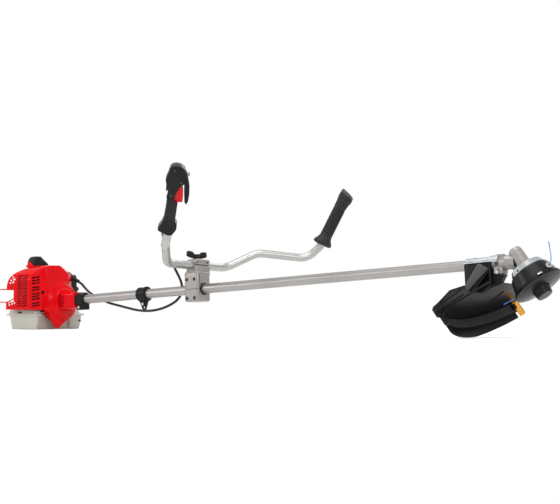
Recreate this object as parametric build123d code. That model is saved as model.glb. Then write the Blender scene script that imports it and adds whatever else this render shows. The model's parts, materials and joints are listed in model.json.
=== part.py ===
from build123d import *
import math
import os

# A petrol string trimmer on a straight aluminium tube with a bicycle-style handlebar.
# Millimetres. X runs forward from the engine to the cutting head, Y to the operator's
# left and Z up. The origin is the middle of the fuel tank's base, on the ground.

# ---------------------------------------------------------------- driving dimensions
collar_x = 168.6          # front face of the tube collar, on the tube's axis
collar_z = 87.1
shaft_rise = 3.65         # degrees the tube rises from the engine to the head
tube_radius = 13.0
tube_wall = 1.5
tube_start = -50.0        # distances along the tube count from the collar's front face
tube_end = 1378.0
drive_radius = 4.0

gear_centre = 1417.0      # where the output axis crosses the tube's axis
gear_tilt = 34.0          # degrees the head's plane is turned from square to the tube
cone_distance = 22.0
pinion_teeth = 14
gear_teeth = 19

crank_throw = 12.0
rod_length = 55.0
bore_radius = 21.0
rod_plane = -159.0        # the connecting rod's middle, along the tube's axis
carb_x = -159.0
plug_y = -14.0            # the spark plug stands to the right of the cylinder's middle
flywheel_radius = 46.0
reel_radius = 22.0

cover_front = 72.0
cover_back = -54.0
cover_base = 57.0
cover_side = -104.0
cover_top = 184.0
cover_wall = 2.5

hanger_station = 225.0

bracket_station = 422.0   # middle of the handle bracket, along the tube
handle_roll = -2.3        # degrees the handle bracket is turned about the tube
bar_height = 64.0         # bar's axis over the tube's axis
bar_radius = 11.0
bar_wall = 1.5
right_bar_end = 68.0      # the bar stops below the trigger, past its last bend
grip_turn = 38.0          # degrees the throttle grip is turned inwards about the bar

head_radius = 60.5
head_top = -30.3          # heights on the output axis count from the tube's axis
rim_level = -72.0
eyelet_turn = -17.0
eyelet_level = -57.0
guard_radius = 250.0
guard_centre = (41.0, -22.0)
guard_sweep = (-35.0, 43.5)
guard_plate_level = -8.0
guard_wall = 3.0
band_level = -36.0
skirt_sweep = (-30.0, 40.0)
skirt_wall = 2.8
clamp_start = 1273.0      # guard clamp and pedestal, along the tube
clamp_end = 1344.0
line_radius = 1.2
cable_radius = 3.5
fit_gap = 0.05            # radial clearance of every running fit

os.makedirs("parts", exist_ok=True)

shaft_frame = Location((collar_x, 0, collar_z), (0, -shaft_rise, 0))
handle_frame = shaft_frame * Location((bracket_station, 0, 0), (handle_roll, 0, 0))
head_frame = shaft_frame * Location((gear_centre, 0, 0), (0, -gear_tilt, 0))


# ---------------------------------------------------------------- small helpers
def save(name, shape, frame=Location()):
    placed = frame * shape
    export_step(placed, f"parts/{name}.step")
    return placed


def rod_x(radius, start, end, y=0.0, z=0.0):
    return Pos((start + end) / 2, y, z) * Rot(0, 90, 0) * Cylinder(radius, end - start)


def rod_y(radius, start, end, x=0.0, z=0.0):
    return Pos(x, (start + end) / 2, z) * Rot(90, 0, 0) * Cylinder(radius, end - start)


def rod_z(radius, start, end, x=0.0, y=0.0):
    return Pos(x, y, (start + end) / 2) * Cylinder(radius, end - start)


def block(x0, x1, y0, y1, z0, z1):
    middle = Pos((x0 + x1) / 2, (y0 + y1) / 2, (z0 + z1) / 2)
    return middle * Box(x1 - x0, y1 - y0, z1 - z0)


def ring_x(outer, inner, start, end, y=0.0, z=0.0):
    return rod_x(outer, start, end, y, z) - rod_x(inner, start - 1, end + 1, y, z)


def ring_z(outer, inner, start, end, x=0.0, y=0.0):
    return rod_z(outer, start, end, x, y) - rod_z(inner, start - 1, end + 1, x, y)


def soften(shape, radius, axis):
    return fillet(shape.edges().filter_by(axis), radius)


def turned(points):
    profile = make_face(Polyline(*[(r, 0, z) for r, z in points], close=True))
    return revolve(profile, Axis.Z)


def prism_x(points, start, end):
    outline = make_face(Polyline(*[(start, y, z) for y, z in points], close=True))
    return extrude(outline, amount=end - start, dir=(1, 0, 0))


def prism_y(points, start, end):
    outline = make_face(Polyline(*[(x, start, z) for x, z in points], close=True))
    return extrude(outline, amount=end - start, dir=(0, 1, 0))


# ---------------------------------------------------------------- tube and drive shaft
def make_tube():
    tube = ring_x(tube_radius, tube_radius - tube_wall, tube_start, tube_end)
    save("drive_tube", tube, shaft_frame)

    bush_outer = tube_radius - tube_wall
    bushes = []
    for station in (60, 390, 720, 1050, 1320):
        bushes.append(ring_x(bush_outer, drive_radius + fit_gap, station, station + 24))
    save("tube_bushes", Compound(children=bushes), shaft_frame)

    save("drive_shaft", rod_x(drive_radius, -85, gear_centre - 12.9), shaft_frame)

    collar = ring_x(20, tube_radius, -36, 0)
    lug = soften(block(-26, -2, -15, 15, -29, -15), 3, Axis.X)
    collar = collar + (lug - rod_x(tube_radius, -37, 1))
    collar = collar - block(-27, 1, -1.2, 1.2, -30, -10) - rod_y(2.6, -20, 20, -14, -22)
    save("tube_collar", collar, shaft_frame)


# ---------------------------------------------------------------- engine, inside
def make_crank():
    shaft = rod_x(6, -238, -170) + rod_x(6, -148, -92)
    webs = rod_x(22, -176, -166) + rod_x(22, -152, -142)
    pin = rod_x(5, -167, -151, 0, crank_throw)
    save("crankshaft", shaft + webs + pin, shaft_frame)

    rim = rod_x(flywheel_radius, -124, -110) - rod_x(38, -125, -116)
    hub = rod_x(13, -125, -106)
    blades = []
    for i in range(18):
        blades.append(Rot(i * 20, 0, 0) * block(-110, -100, -1.2, 1.2, 33, flywheel_radius - 1))
    wheel = rim + hub - rod_x(6, -126, -100)
    for blade in blades:
        wheel += blade
    save("flywheel", wheel, shaft_frame)

    shoe = ring_x(26.2, 14, -105, -93) & block(-106, -92, 2, 30, -30, 30)
    save("clutch_shoes", Compound(children=[shoe, Rot(180, 0, 0) * shoe]), shaft_frame)

    drum = ring_x(29.5, 27, -106, -88) + rod_x(29.5, -90, -87) + rod_x(7, -88, -58)
    save("clutch_drum", drum - rod_x(drive_radius, -86, -57), shaft_frame)


def make_rod():
    big_end = rod_x(9, rod_plane - 4, rod_plane + 4, 0, crank_throw)
    small_end = rod_x(6, rod_plane - 4, rod_plane + 4, 0, crank_throw + rod_length)
    shank = block(rod_plane - 3, rod_plane + 3, -3, 3, crank_throw, crank_throw + rod_length)
    rod = big_end + small_end + shank
    rod -= rod_x(5 + fit_gap, rod_plane - 5, rod_plane + 5, 0, crank_throw)
    rod -= rod_x(4, rod_plane - 5, rod_plane + 5, 0, crank_throw + rod_length)
    save("connecting_rod", rod, shaft_frame)


def make_cylinder():
    case = soften(block(-190, -128, -36, 36, -27, 28), 6, Axis.X)
    cavity = rod_x(25, -182, -136)
    case = case - cavity - rod_x(13, -191, -127) - rod_z(bore_radius, 0, 29, rod_plane)
    save("crankcase", case, shaft_frame)

    barrel = rod_z(bore_radius + 4.5, 28, 96, rod_plane)
    for level in range(9):
        z = 42 + 6 * level
        fin = soften(block(-188, -130, -37, 37, z, z + 2), 9, Axis.Z)
        barrel += fin
    barrel += rod_y(12, -43, -15, rod_plane, 56) + rod_y(12, 15, 45, rod_plane, 46)
    barrel -= rod_z(bore_radius, 27, 88, rod_plane)
    barrel -= rod_y(8, -44, -15, rod_plane, 56) + rod_y(8, 15, 46, rod_plane, 46)
    barrel -= rod_z(5, 80, 100, rod_plane, plug_y)
    save("cylinder", barrel, shaft_frame)

    piston = rod_z(bore_radius - fit_gap, 56, 86, rod_plane)
    piston -= rod_z(bore_radius - 2.2, 55, 80, rod_plane)
    for z in (77.2, 80.4, 83.2):
        piston -= ring_z(bore_radius + 1, bore_radius - 1.2, z, z + 1.2, rod_plane)
    for side in (-1, 1):
        start, end = sorted((rod_plane + side * 5.5, rod_plane + side * 19.6))
        piston += rod_x(6.5, start, end, 0, crank_throw + rod_length)
    save("piston", piston, shaft_frame)

    plug = rod_z(5, 86.5, 97, rod_plane, plug_y) + rod_z(8.5, 96, 103, rod_plane, plug_y)
    plug += rod_z(5, 103, 116, rod_plane, plug_y) + rod_z(2, 116, 119, rod_plane, plug_y)
    save("spark_plug", plug, shaft_frame)

    bearings = []
    for start, end, inner, outer in ((-190, -182, 6, 13), (-136, -128, 6, 13), (-82, -72, 7, 16)):
        bearings.append(ring_x(outer, inner + fit_gap, start, end))
    bearings.append(ring_x(11, drive_radius + fit_gap, 1379, 1388))
    turn = Location((gear_centre, 0, 0), (0, -gear_tilt, 0))
    bearings.append(turn * ring_z(13, 5 + fit_gap, 25, 33))
    bearings.append(turn * ring_z(13, 5 + fit_gap, -12, -4))
    save("ball_bearings", Compound(children=bearings), shaft_frame)

    coil = block(-125, -111, -16, 16, 50, 60) + block(-124, -112, -16, -10, 46.6, 51)
    save("ignition_coil", coil + block(-124, -112, 10, 16, 46.6, 51), shaft_frame)


def make_muffler():
    box = soften(block(-186, -132, -92, -46, 24, 80), 8, Axis.Y)
    box += rod_y(12, -47, -43, rod_plane, 56)
    box -= rod_y(8, -60, -42, rod_plane, 56)
    box -= block(-183, -135, -89, -49, 27, 77) - rod_y(12, -50, -42, rod_plane, 56)
    box += rod_z(7, 12, 26, -176, -80)
    box -= rod_z(5, 11, 28, -176, -80)
    save("muffler", box, shaft_frame)


# ---------------------------------------------------------------- fuel and air side
def make_carburettor():
    body = soften(block(carb_x - 19, carb_x + 19, 45, 80, 28, 66), 3, Axis.Y)
    body -= rod_y(8, 44, 81, carb_x, 46)
    body -= rod_z(8.4, 27, 34, carb_x, 62)
    body -= rod_z(3 + fit_gap, 54, 67, carb_x, 62)
    save("carburettor", body, shaft_frame)

    spindle = rod_z(3, 54.5, 74, carb_x, 62)
    arm = soften(block(carb_x - 6, carb_x + 16, 57, 67, 67, 70), 4, Axis.Z)
    save("throttle_lever", spindle + arm, shaft_frame)

    save("primer_bulb", turned([(0, 14), (5, 14.6), (7.4, 18), (8, 22), (8, 30), (0, 30)]),
         shaft_frame * Location((carb_x, 62, 0)))

    plate = soften(block(-210, -148, 80, 84, 0, 80), 8, Axis.Y)
    plate -= rod_y(8, 79, 85, carb_x, 46)
    plate -= rod_y(3 + fit_gap, 79, 85, -190, 20)
    save("air_filter_box", plate, shaft_frame)
    element = soften(block(-180, -154, 84, 98, 14, 74), 6, Axis.Y)
    save("air_filter_element", element, shaft_frame)

    cover = soften(block(-214, -146, 84, 112, -2, 82), 12, Axis.Y)
    cover = fillet(cover.faces().sort_by(Axis.Y)[-1].edges(), 7)
    cover -= soften(block(-210, -150, 83, 108, 2, 78), 8, Axis.Y)
    for level in range(5):
        cover -= block(-200, -166, 106, 114, 12 + level * 12, 16 + level * 12)
    save("air_filter_cover", cover, shaft_frame)

    pivot = rod_y(3, 72, 88, -190, 20)
    lever = soften(block(-194, -186, 74, 78, -12, 26), 3.5, Axis.Y)
    save("choke_lever", pivot + lever + rod_y(7, 86, 88, -190, 20), shaft_frame)


def make_tank():
    tank = soften(block(-64, 36, -84, 106, 0, 46), 10, Axis.Z)
    tank += soften(block(0, 45, -84, -52, 0, 46), 9, Axis.Z)
    tank += soften(block(0, 45, 54, 106, 0, 46), 9, Axis.Z)
    tank += soften(block(-60, 41, -80, -52, 40, 55.5), 7, Axis.Z)
    tank += soften(block(-60, 36, 62, 102, 40, 55.5), 7, Axis.Z)
    seam = soften(block(-67, 39, -87, 109, 40, 44), 12, Axis.Z)
    seam += soften(block(0, 48, -87, -50.5, 40, 44), 11, Axis.Z)
    seam += soften(block(0, 48, 52.5, 109, 40, 44), 11, Axis.Z)
    tank += seam - block(20, 60, -50, 52, 30, 50)
    tank += rod_x(15, -76, -60, 62, 22)
    inside = soften(block(-61, 33, -81, 103, 3, 43), 8, Axis.Z)
    tank -= inside + rod_x(12, -77, -60, 62, 22)
    save("fuel_tank", tank)

    cap = rod_x(19, -86, -70, 62, 22) - rod_x(15 + fit_gap, -81, -69, 62, 22)
    plug = rod_x(12 - fit_gap, -82, -72, 62, 22)
    for i in range(12):
        turn = math.radians(30 * i)
        cap -= rod_x(2, -87, -72, 62 + 20 * math.cos(turn), 22 + 20 * math.sin(turn))
    save("fuel_cap", cap + plug)


# ---------------------------------------------------------------- covers
def make_fan_housing():
    foot = [(-48, -32), (-9, -74), (-5, -78), (5, -78), (9, -74), (48, -32)]
    shell = rod_x(58, -127, -88) + prism_x(foot, -112, -88)
    shell -= rod_x(54, -128, -92)
    foot_hollow = [(-40, -34), (-5, -70), (5, -70), (40, -34)]
    shell -= prism_x(foot_hollow, -113, -92)
    shell -= block(-128, -109, -24, 24, 43, 62)
    neck_root = Plane(origin=(-89, 0, 0), z_dir=(1, 0, 0)) * RectangleRounded(52, 52, 12)
    neck_tip = Plane(origin=(-36, 0, 0), z_dir=(1, 0, 0)) * RectangleRounded(46, 46, 12)
    shell += loft([neck_root, neck_tip])
    shell -= rod_x(31, -93, -85.5) + rod_x(16, -86, -72)
    shell -= rod_x(9, -73, -50) + rod_x(tube_radius, -50, -35)
    for level in range(6):
        shell -= block(-96, -84, -50, -43, -17 + level * 7, -13.5 + level * 7)
    save("fan_housing", shell, shaft_frame)


cable_route = [(41, 65.5, 147.5), (51, 77, 141), (68, 81, 131.5), (86, 74, 121.5), (108, 62.5, 113.5),
               (140, 46, 103), (200.9, 26, 86.3), (250.6, 12, 75.7), (298.5, 3, 69), (340.8, -4, 62.2),
               (381.7, -10.5, 56.6), (420.2, -10.5, 54.9), (454.6, -3, 59.5), (483.2, 9, 71.5),
               (501, 19.5, 85.5), (513.5, 22.5, 103), (523, 14, 121.5), (532.3, -2.2, 138),
               (543.3, -26.8, 155.4), (551.6, -50.8, 173.9), (559.2, -72.9, 192), (569.1, -95.7, 210.1),
               (582.2, -118.5, 226.5), (605.2, -148.8, 239.7), (636.5, -185.2, 248.8), (671.1, -224.2, 251.8),
               (704, -261, 252), (728, -285, 254), (744, -298, 259)]


def cover_outline(shrink):
    side, far = cover_side + shrink, 62 - shrink
    base, top = cover_base - shrink, cover_top - shrink
    points = [(side, base), (side, 142), (side + 6, 160), (side + 20, 173), (side + 42, top - 2.5)]
    points += [(-46, top), (34, top), (far - 10, top - 6), (far, 162), (far, base)]
    return points


def cover_body(shrink):
    # the outer or, shrunk by the wall, the inner shape, with its two slanted corners
    body = prism_x(cover_outline(shrink), cover_back - shrink, cover_front - shrink)
    low, high = Vector(47, cover_side, 0), Vector(cover_front, -62, 0)
    along = (high - low).normalized()
    out = Vector(along.Y, -along.X, 0)
    start = low - out * shrink - along * 30
    corner = Location(Plane(origin=start, x_dir=along, z_dir=(0, 0, 1)))
    body -= corner * block(0, 110, -80, 0, 0, 200)
    slope = Location(Plane(origin=Vector(cover_front, -12, cover_top), z_dir=(0.519, 0.474, 0.731)))
    body -= slope * block(-150, 150, -150, 150, -shrink, 120)
    return body


def make_engine_cover():
    cover = cover_body(0) - cover_body(cover_wall)
    cover -= block(-70, 30, 56, 70, 50, 156)
    cover -= shaft_frame * rod_x(58.6, -140, -80)
    cover -= shaft_frame * rod_z(14, 90, 130, rod_plane, plug_y)
    cover -= block(40, 80, -50, 50, 50, 64)
    cover -= block(-60, -21, cover_side - 4, cover_side + 5, 80, 115)
    for row in range(8):
        z = 66 + row * 11
        for start, end in ((-7, 13), (16, 36)):
            cover -= block(start, end, cover_side - 4, cover_side + 5, z, z + 3.5)
        slot = Location(Plane(origin=(59.5, -83, z + 2), x_dir=(0.512, 0.859, 0), z_dir=(0, 0, 1)))
        cover -= slot * Box(22, 12, 3.5)
    for z in (129, 137, 145):
        cover -= block(-36, -12, cover_side - 4, cover_side + 5, z, z + 4)
    start, after = Vector(*cable_route[0]), Vector(*cable_route[1])
    gland = Location(Plane(origin=start, z_dir=start - after)) * rod_z(6, 0, 7)
    save("engine_cover", cover + (gland - cover_body(cover_wall)))

    cap = [(-60, 111), (-60, 119), (-49, 132), (-25, 132), (-6, 119), (-6, 111)]
    plug_cap = prism_x(cap, rod_plane - 14, rod_plane + 14)
    plug_cap += rod_z(12, 98, 112, rod_plane, plug_y)
    plug_cap -= rod_z(8.6, 90, 104, rod_plane, plug_y) + rod_z(5.2, 90, 119.5, rod_plane, plug_y)
    save("plug_cap", plug_cap, shaft_frame)


def make_starter():
    dome = Pos(-240, 0, 0) * Rot(0, 90, 0) * Cone(24, 46, 24)
    shell = (rod_x(46, -228, -192) + dome) & block(-260, -190, -60, 60, -26, 60)
    dome_hollow = Pos(-238.5, 0, 0) * Rot(0, 90, 0) * Cone(22.5, 43, 21)
    hollow = (rod_x(43, -228, -191) + dome_hollow) & block(-260, -190, -60, 60, -23, 60)
    shell -= hollow
    shell += rod_x(7, -250, -239.5)
    for i in range(10):
        turn = Rot(i * 36, 0, 0)
        slot = turn * block(-256, -230, -2.2, 2.2, 27, 39)
        if i not in (4, 5, 6):
            shell -= slot
    boss = rod_y(8, 36, 50, -222, 22)
    shell += boss - rod_x(43, -249, -191)
    shell -= rod_y(3.2, 30, 52, -222, 22)
    save("starter_housing", shell, shaft_frame)

    reel = ring_x(reel_radius, 6 + fit_gap, -228, -216)
    reel -= ring_x(reel_radius + 1, reel_radius - 5, -224.5, -219.5)
    save("starter_reel", reel, shaft_frame)

    grip = soften(block(-229, -215, 52, 66, 0, 44), 5, Axis.Z)
    grip = grip + rod_y(2, 34, 54, -222, 22)
    save("starter_handle", grip, shaft_frame)


# ---------------------------------------------------------------- harness ring and handle
def make_hanger():
    ring = ring_x(18.5, tube_radius, hanger_station - 15, hanger_station + 15)
    lug = [(-20, -10), (-5, -44), (5, -44), (20, -10)]
    plate = prism_y([(hanger_station + x, z) for x, z in lug], -4, 4)
    plate += rod_y(6.5, -4, 4, hanger_station, -42)
    plate -= rod_x(16, hanger_station - 30, hanger_station + 30)
    ring += plate
    ring -= rod_y(4, -8, 8, hanger_station, -39) + rod_y(2.4, -8, 8, hanger_station, -27)
    ring -= block(hanger_station - 16, hanger_station + 16, -1, 1, -20, -10)
    save("harness_ring", ring, shaft_frame)


def make_bracket():
    low = soften(block(-24, 24, -26, 26, -33, 47), 5, Axis.X)
    saddle = soften(block(-19, 19, -34, 34, 40, bar_height), 4, Axis.Y)
    low = low + saddle
    low -= rod_x(16, -25, 25) + rod_y(bar_radius + fit_gap, -60, 60, 0, bar_height)
    low -= rod_z(3.2, 30, 70, -15.4, 0)
    recess = soften(block(22, 26, -12, 20, 20, 40), 3, Axis.X)
    low -= recess
    for x in (-14, 12):
        for z in (-24, 26):
            low -= rod_y(4.2, -27, -22, x, z) + rod_y(2.5, -23, 27, x, z)
    save("handle_bracket", low, handle_frame)

    save("damper_ring", ring_x(16, tube_radius, -25, 25.5), handle_frame)

    cap = soften(block(-19, 19, -36, 36, bar_height + 0.5, bar_height + 17), 6, Axis.Y)
    cap -= rod_y(bar_radius + fit_gap, -60, 60, 0, bar_height)
    save("bracket_cap", cap, handle_frame)

    knob = rod_z(7, bar_height + 17.5, bar_height + 27)
    wing = prism_y([(-5, 82), (5, 82), (5, 90), (-5, 90)], -14, 14)
    for side in (-1, 1):
        wing += Pos(0, side * 23, 92) * Rot(side * 10, 0, 0) * Box(7, 24, 15)
    knob = knob + wing
    save("wing_knob", knob, handle_frame)


def handle_points(side):
    return [(0, side * 118, bar_height), (59, side * 186, 104.6), (151, side * 287, 88.2),
            (184, side * 310, 121.2), (248, side * 354, 267)]


def make_handlebar():
    right, left = handle_points(-1), handle_points(1)
    bend, tip = Vector(*right[3]), Vector(*right[4])
    right[4] = tuple(bend + (tip - bend).normalized() * right_bar_end)
    route = FilletPolyline(*reversed(left), *right, radius=[70, 50, 60, 50, 50, 60, 50, 70])
    start = Plane(origin=route @ 0, z_dir=route % 0)
    bar = sweep(start * Circle(bar_radius), path=route)
    hollow = sweep(start * Circle(bar_radius - bar_wall), path=route)
    save("handlebar", bar - hollow, handle_frame)
    return bar


def grip_location(side):
    start, end = handle_points(side)[3], handle_points(side)[4]
    along = (Vector(*end) - Vector(*start)).normalized()
    forward = Vector(1, 0, 0) - along * along.X
    origin = Vector(*start) - along * 2
    return Location(Plane(origin=origin, x_dir=forward, z_dir=along))


def make_throttle_grip(bar):
    local = grip_location(-1) * Rot(0, 0, grip_turn)
    place = handle_frame * local
    body = soften(block(-15, 15, -14.5, 14.5, 14, 110), 10, Axis.Z)
    collar = [(-15, 32), (-21, 20), (-27, 11), (-26, 3), (-14, -3), (-2, -7), (9, -6), (19, 10), (19, 22), (14, 30)]
    head = [(-15, 98), (-15, 150), (-12, 166), (2, 174.5), (14, 173.5), (24, 168), (28, 156), (28, 122),
            (16, 112), (15, 98)]
    hook = [(20, 170), (25.3, 168), (31, 157), (37.5, 137), (41, 120.5), (42.3, 102), (40.5, 83), (36, 77),
            (32.5, 82), (30, 100), (28.5, 108), (27, 120), (20, 126)]
    body += prism_y(collar, -17, 17) + prism_y(head, -16, 16) + prism_y(hook, -9, 9)
    before, end = Vector(*cable_route[-2]), Vector(*cable_route[-1])
    socket = Location(Plane(origin=end, z_dir=end - before)) * rod_z(5.5, 0, 12)
    body += place.inverse() * socket
    body -= local.inverse() * bar
    body -= block(1, 30, -7, 7, 76, 131)
    body -= block(28, 31, -10, 10, 76, 100)
    body -= block(-30, -3, -6.5, 6.5, 101, 149)
    body -= block(24, 42, -5, 5, 146.5, 160.5)
    save("throttle_grip", body, place)

    blade = prism_y([(15, 129), (22, 129), (26.4, 110), (27.3, 81), (25, 79.5), (14.5, 79.5), (14, 104)], -6, 6)
    save("throttle_trigger", blade + rod_y(4, -6, 6, 18.5, 125.5), place)

    paddle = [(-9, 145), (-15, 146), (-18.5, 136), (-16, 122), (-15.5, 106), (-11.5, 105), (-9, 128)]
    save("lockout_lever", prism_y(paddle, -5.5, 5.5) + rod_y(3, -5.5, 5.5, -12, 142), place)

    save("stop_switch", soften(block(25, 36, -4.5, 4.5, 148, 155), 1.5, Axis.Y), place)


def make_left_grip(bar):
    local = grip_location(1)
    place = handle_frame * local
    profile = [(0, 0), (17, 0), (23, 4), (23, 9), (17, 22), (16, 60), (17, 110), (19, 150),
               (18, 164), (12, 168), (0, 168)]
    save("left_grip", turned(profile) - local.inverse() * bar, place)


# ---------------------------------------------------------------- gearbox and cutting head
def make_gearbox():
    turn = Location((gear_centre, 0, 0), (0, -gear_tilt, 0))
    neck = rod_x(17, 1345, 1404)
    tower = turn * rod_z(16.5, -13, 36)
    skirt = turn * rod_z(22, -14, -8)
    lug = soften(block(1348, 1372, -14, 14, -26, -8), 3, Axis.X)
    case = neck + tower + skirt + lug
    case -= rod_x(tube_radius, 1340, tube_end)
    case -= rod_x(11, tube_end - 1, 1389)
    case -= rod_x(10, 1388, gear_centre)
    case -= turn * rod_z(13, -15, 33.5)
    case -= block(1343, 1374, -1, 1, -30, -10)
    case -= rod_y(2.6, -20, 20, 1360, -21)
    save("gearbox_housing", case, shaft_frame)

    pinion_angle, gear_angle = 23.0, 32.2
    pinion_cone = bevel(pinion_angle, pinion_teeth, 13.5)
    pinion = Pos(gear_centre, 0, 0) * Rot(0, -90, 0) * (pinion_cone - rod_z(drive_radius, 5, 30))
    save("bevel_pinion", pinion, shaft_frame)

    gear = bevel(gear_angle, gear_teeth, 14)
    output = gear + rod_z(5, -75, 33) - rod_z(2, -76, -55)
    save("output_gear_shaft", output, head_frame)


def bevel(cone_angle, teeth, inner_distance):
    angle = math.radians(cone_angle)
    outer_r, outer_h = cone_distance * math.sin(angle), cone_distance * math.cos(angle)
    inner_r, inner_h = inner_distance * math.sin(angle), inner_distance * math.cos(angle)
    cone = turned([(0, inner_h), (inner_r, inner_h), (outer_r, outer_h),
                   (outer_r - 1.5, outer_h + 2.2), (0, outer_h + 2.2)])
    groove_width = math.pi * outer_r / teeth
    for i in range(teeth):
        groove = Rot(0, cone_angle, 0) * block(-1.1, 2, -groove_width / 2, groove_width / 2, 12, 26)
        cone -= Rot(0, 0, i * 360 / teeth) * groove
    return cone


def make_head():
    holder = turned([(5, -15), (34, -15), (38, -17), (38, -21.5), (41, -22.5), (41, -30), (38.2, -30),
                     (38.2, -24.5), (35, -23), (35, -18), (14, -18), (14, -30), (5, -30)])
    holder -= Rot(0, 0, -96) * rod_x(2.4, 32, 46, 0, -26)
    save("blade_holder", holder, head_frame)

    wall = 2.6
    outer = [(5, head_top), (42, head_top), (47.5, -32.5), (49.5, -37), (56.5, -62), (57.5, -66),
             (head_radius, -68), (head_radius, rim_level)]
    inner = [(head_radius - wall, rim_level), (head_radius - wall, -70), (55, -67), (54, -62),
             (47, -38.5), (45, -34), (11, -34), (11, -66), (5, -66)]
    cover = turned(outer + inner)
    for i in range(2):
        hole = Rot(0, 0, eyelet_turn + 180 * i) * rod_x(4.3, 45, 70, 0, eyelet_level)
        cover -= hole
    for i in range(6):
        slot = Rot(0, 0, -49 + 60 * i)
        cover -= slot * block(52, 70, -6, 6, rim_level - 1, rim_level + 2)
    save("head_cover", cover, head_frame)

    low = [(head_radius, rim_level - 0.3), (head_radius, -74), (46, -77.5), (25, -81), (22.6, -81),
           (22.6, -78.4), (44, -75), (head_radius - wall, -73.2), (head_radius - wall, rim_level - 0.3)]
    save("head_body", turned(low), head_frame)

    eyelets = []
    for i in range(2):
        eyelet = rod_x(4.2, 46, 58, 0, eyelet_level) + rod_x(5.4, 57.4, 59.6, 0, eyelet_level)
        eyelet -= rod_x(line_radius + 0.6, 45, 62, 0, eyelet_level)
        eyelets.append(Rot(0, 0, eyelet_turn + 180 * i) * eyelet)
    save("line_eyelets", Compound(children=eyelets), head_frame)

    knob = turned([(6.6, -100), (18.5, -100), (19.5, -97), (21.6, -79), (21.6, -72), (6.6, -72)])
    for i in range(12):
        knob -= Rot(0, 0, 30 * i) * rod_z(2, -101, -82, 21.8, 0)
    knob += turned([(0, -100), (7, -100), (7, -97), (0, -97)])
    spool = turned([(12, -72), (40, -72), (40, -70), (17, -70), (17, -62), (46, -62), (46, -60), (12, -60)])
    save("bump_knob", knob, head_frame)
    save("line_spool", spool, head_frame)
    save("bump_spring", ring_z(16, 13.5, -54, -34.2), head_frame)


line_routes = {
    "line_a": [(46, -14, -57), (59, -18, -57), (68, -19, -52.5), (74.5, -18, -43.5), (79, -16.8, -32.5),
               (84, -16, -23), (89, -16.6, -14)],
    "line_b": [(-46, 14, -57), (-59, 18, -57), (-68, 15, -55), (-76, 6, -53.5), (-83, -6, -54),
               (-90, -20, -57)],
}


def make_lines():
    for name, points in line_routes.items():
        save(name, round_tube(points, line_radius), head_frame)


def round_tube(points, radius):
    route = [Vector(*p) for p in points]
    runs = [(b - a).length for a, b in zip(route, route[1:])]
    radii = []
    for i in range(1, len(route) - 1):
        turn = (route[i] - route[i - 1]).get_angle(route[i + 1] - route[i])
        radii.append(0.45 * min(runs[i - 1], runs[i]) / math.tan(math.radians(turn / 2)))
    path = FilletPolyline(*route, radius=radii)
    start = Plane(origin=path @ 0, z_dir=path % 0)
    tube = sweep(start * Circle(radius), path=path)
    ratio = tube.volume / (math.pi * radius ** 2 * path.length)
    print("radii", [round(r) for r in radii], "length", round(path.length), "volume ratio", round(ratio, 4))
    return tube


# ---------------------------------------------------------------- guard
def sector(sweep, radius, start, end, inner=0.0):
    # a slice of a ring about the guard's centre, its sweep counted from straight back
    low, high = min(start, end), max(start, end)
    disc = rod_z(radius, low, high, *guard_centre)
    if inner:
        disc -= rod_z(inner, low - 1, high + 1, *guard_centre)
    wedge = [guard_centre]
    for bearing in sweep:
        angle = math.radians(180 - bearing)
        wedge.append((guard_centre[0] + 2 * radius * math.cos(angle),
                      guard_centre[1] + 2 * radius * math.sin(angle)))
    face = make_face(Polyline(*[(x, y, low) for x, y in wedge], close=True))
    return disc & extrude(face, amount=high - low, dir=(0, 0, 1))


def guard_depth():
    # the skirt's lower edge just reaches the ground
    tilt = math.radians(shaft_rise + gear_tilt)
    centre_z = collar_z + gear_centre * math.sin(math.radians(shaft_rise))
    reach = guard_radius + skirt_wall - guard_centre[0]
    return (centre_z - reach * math.sin(tilt)) / math.cos(tilt)


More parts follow.
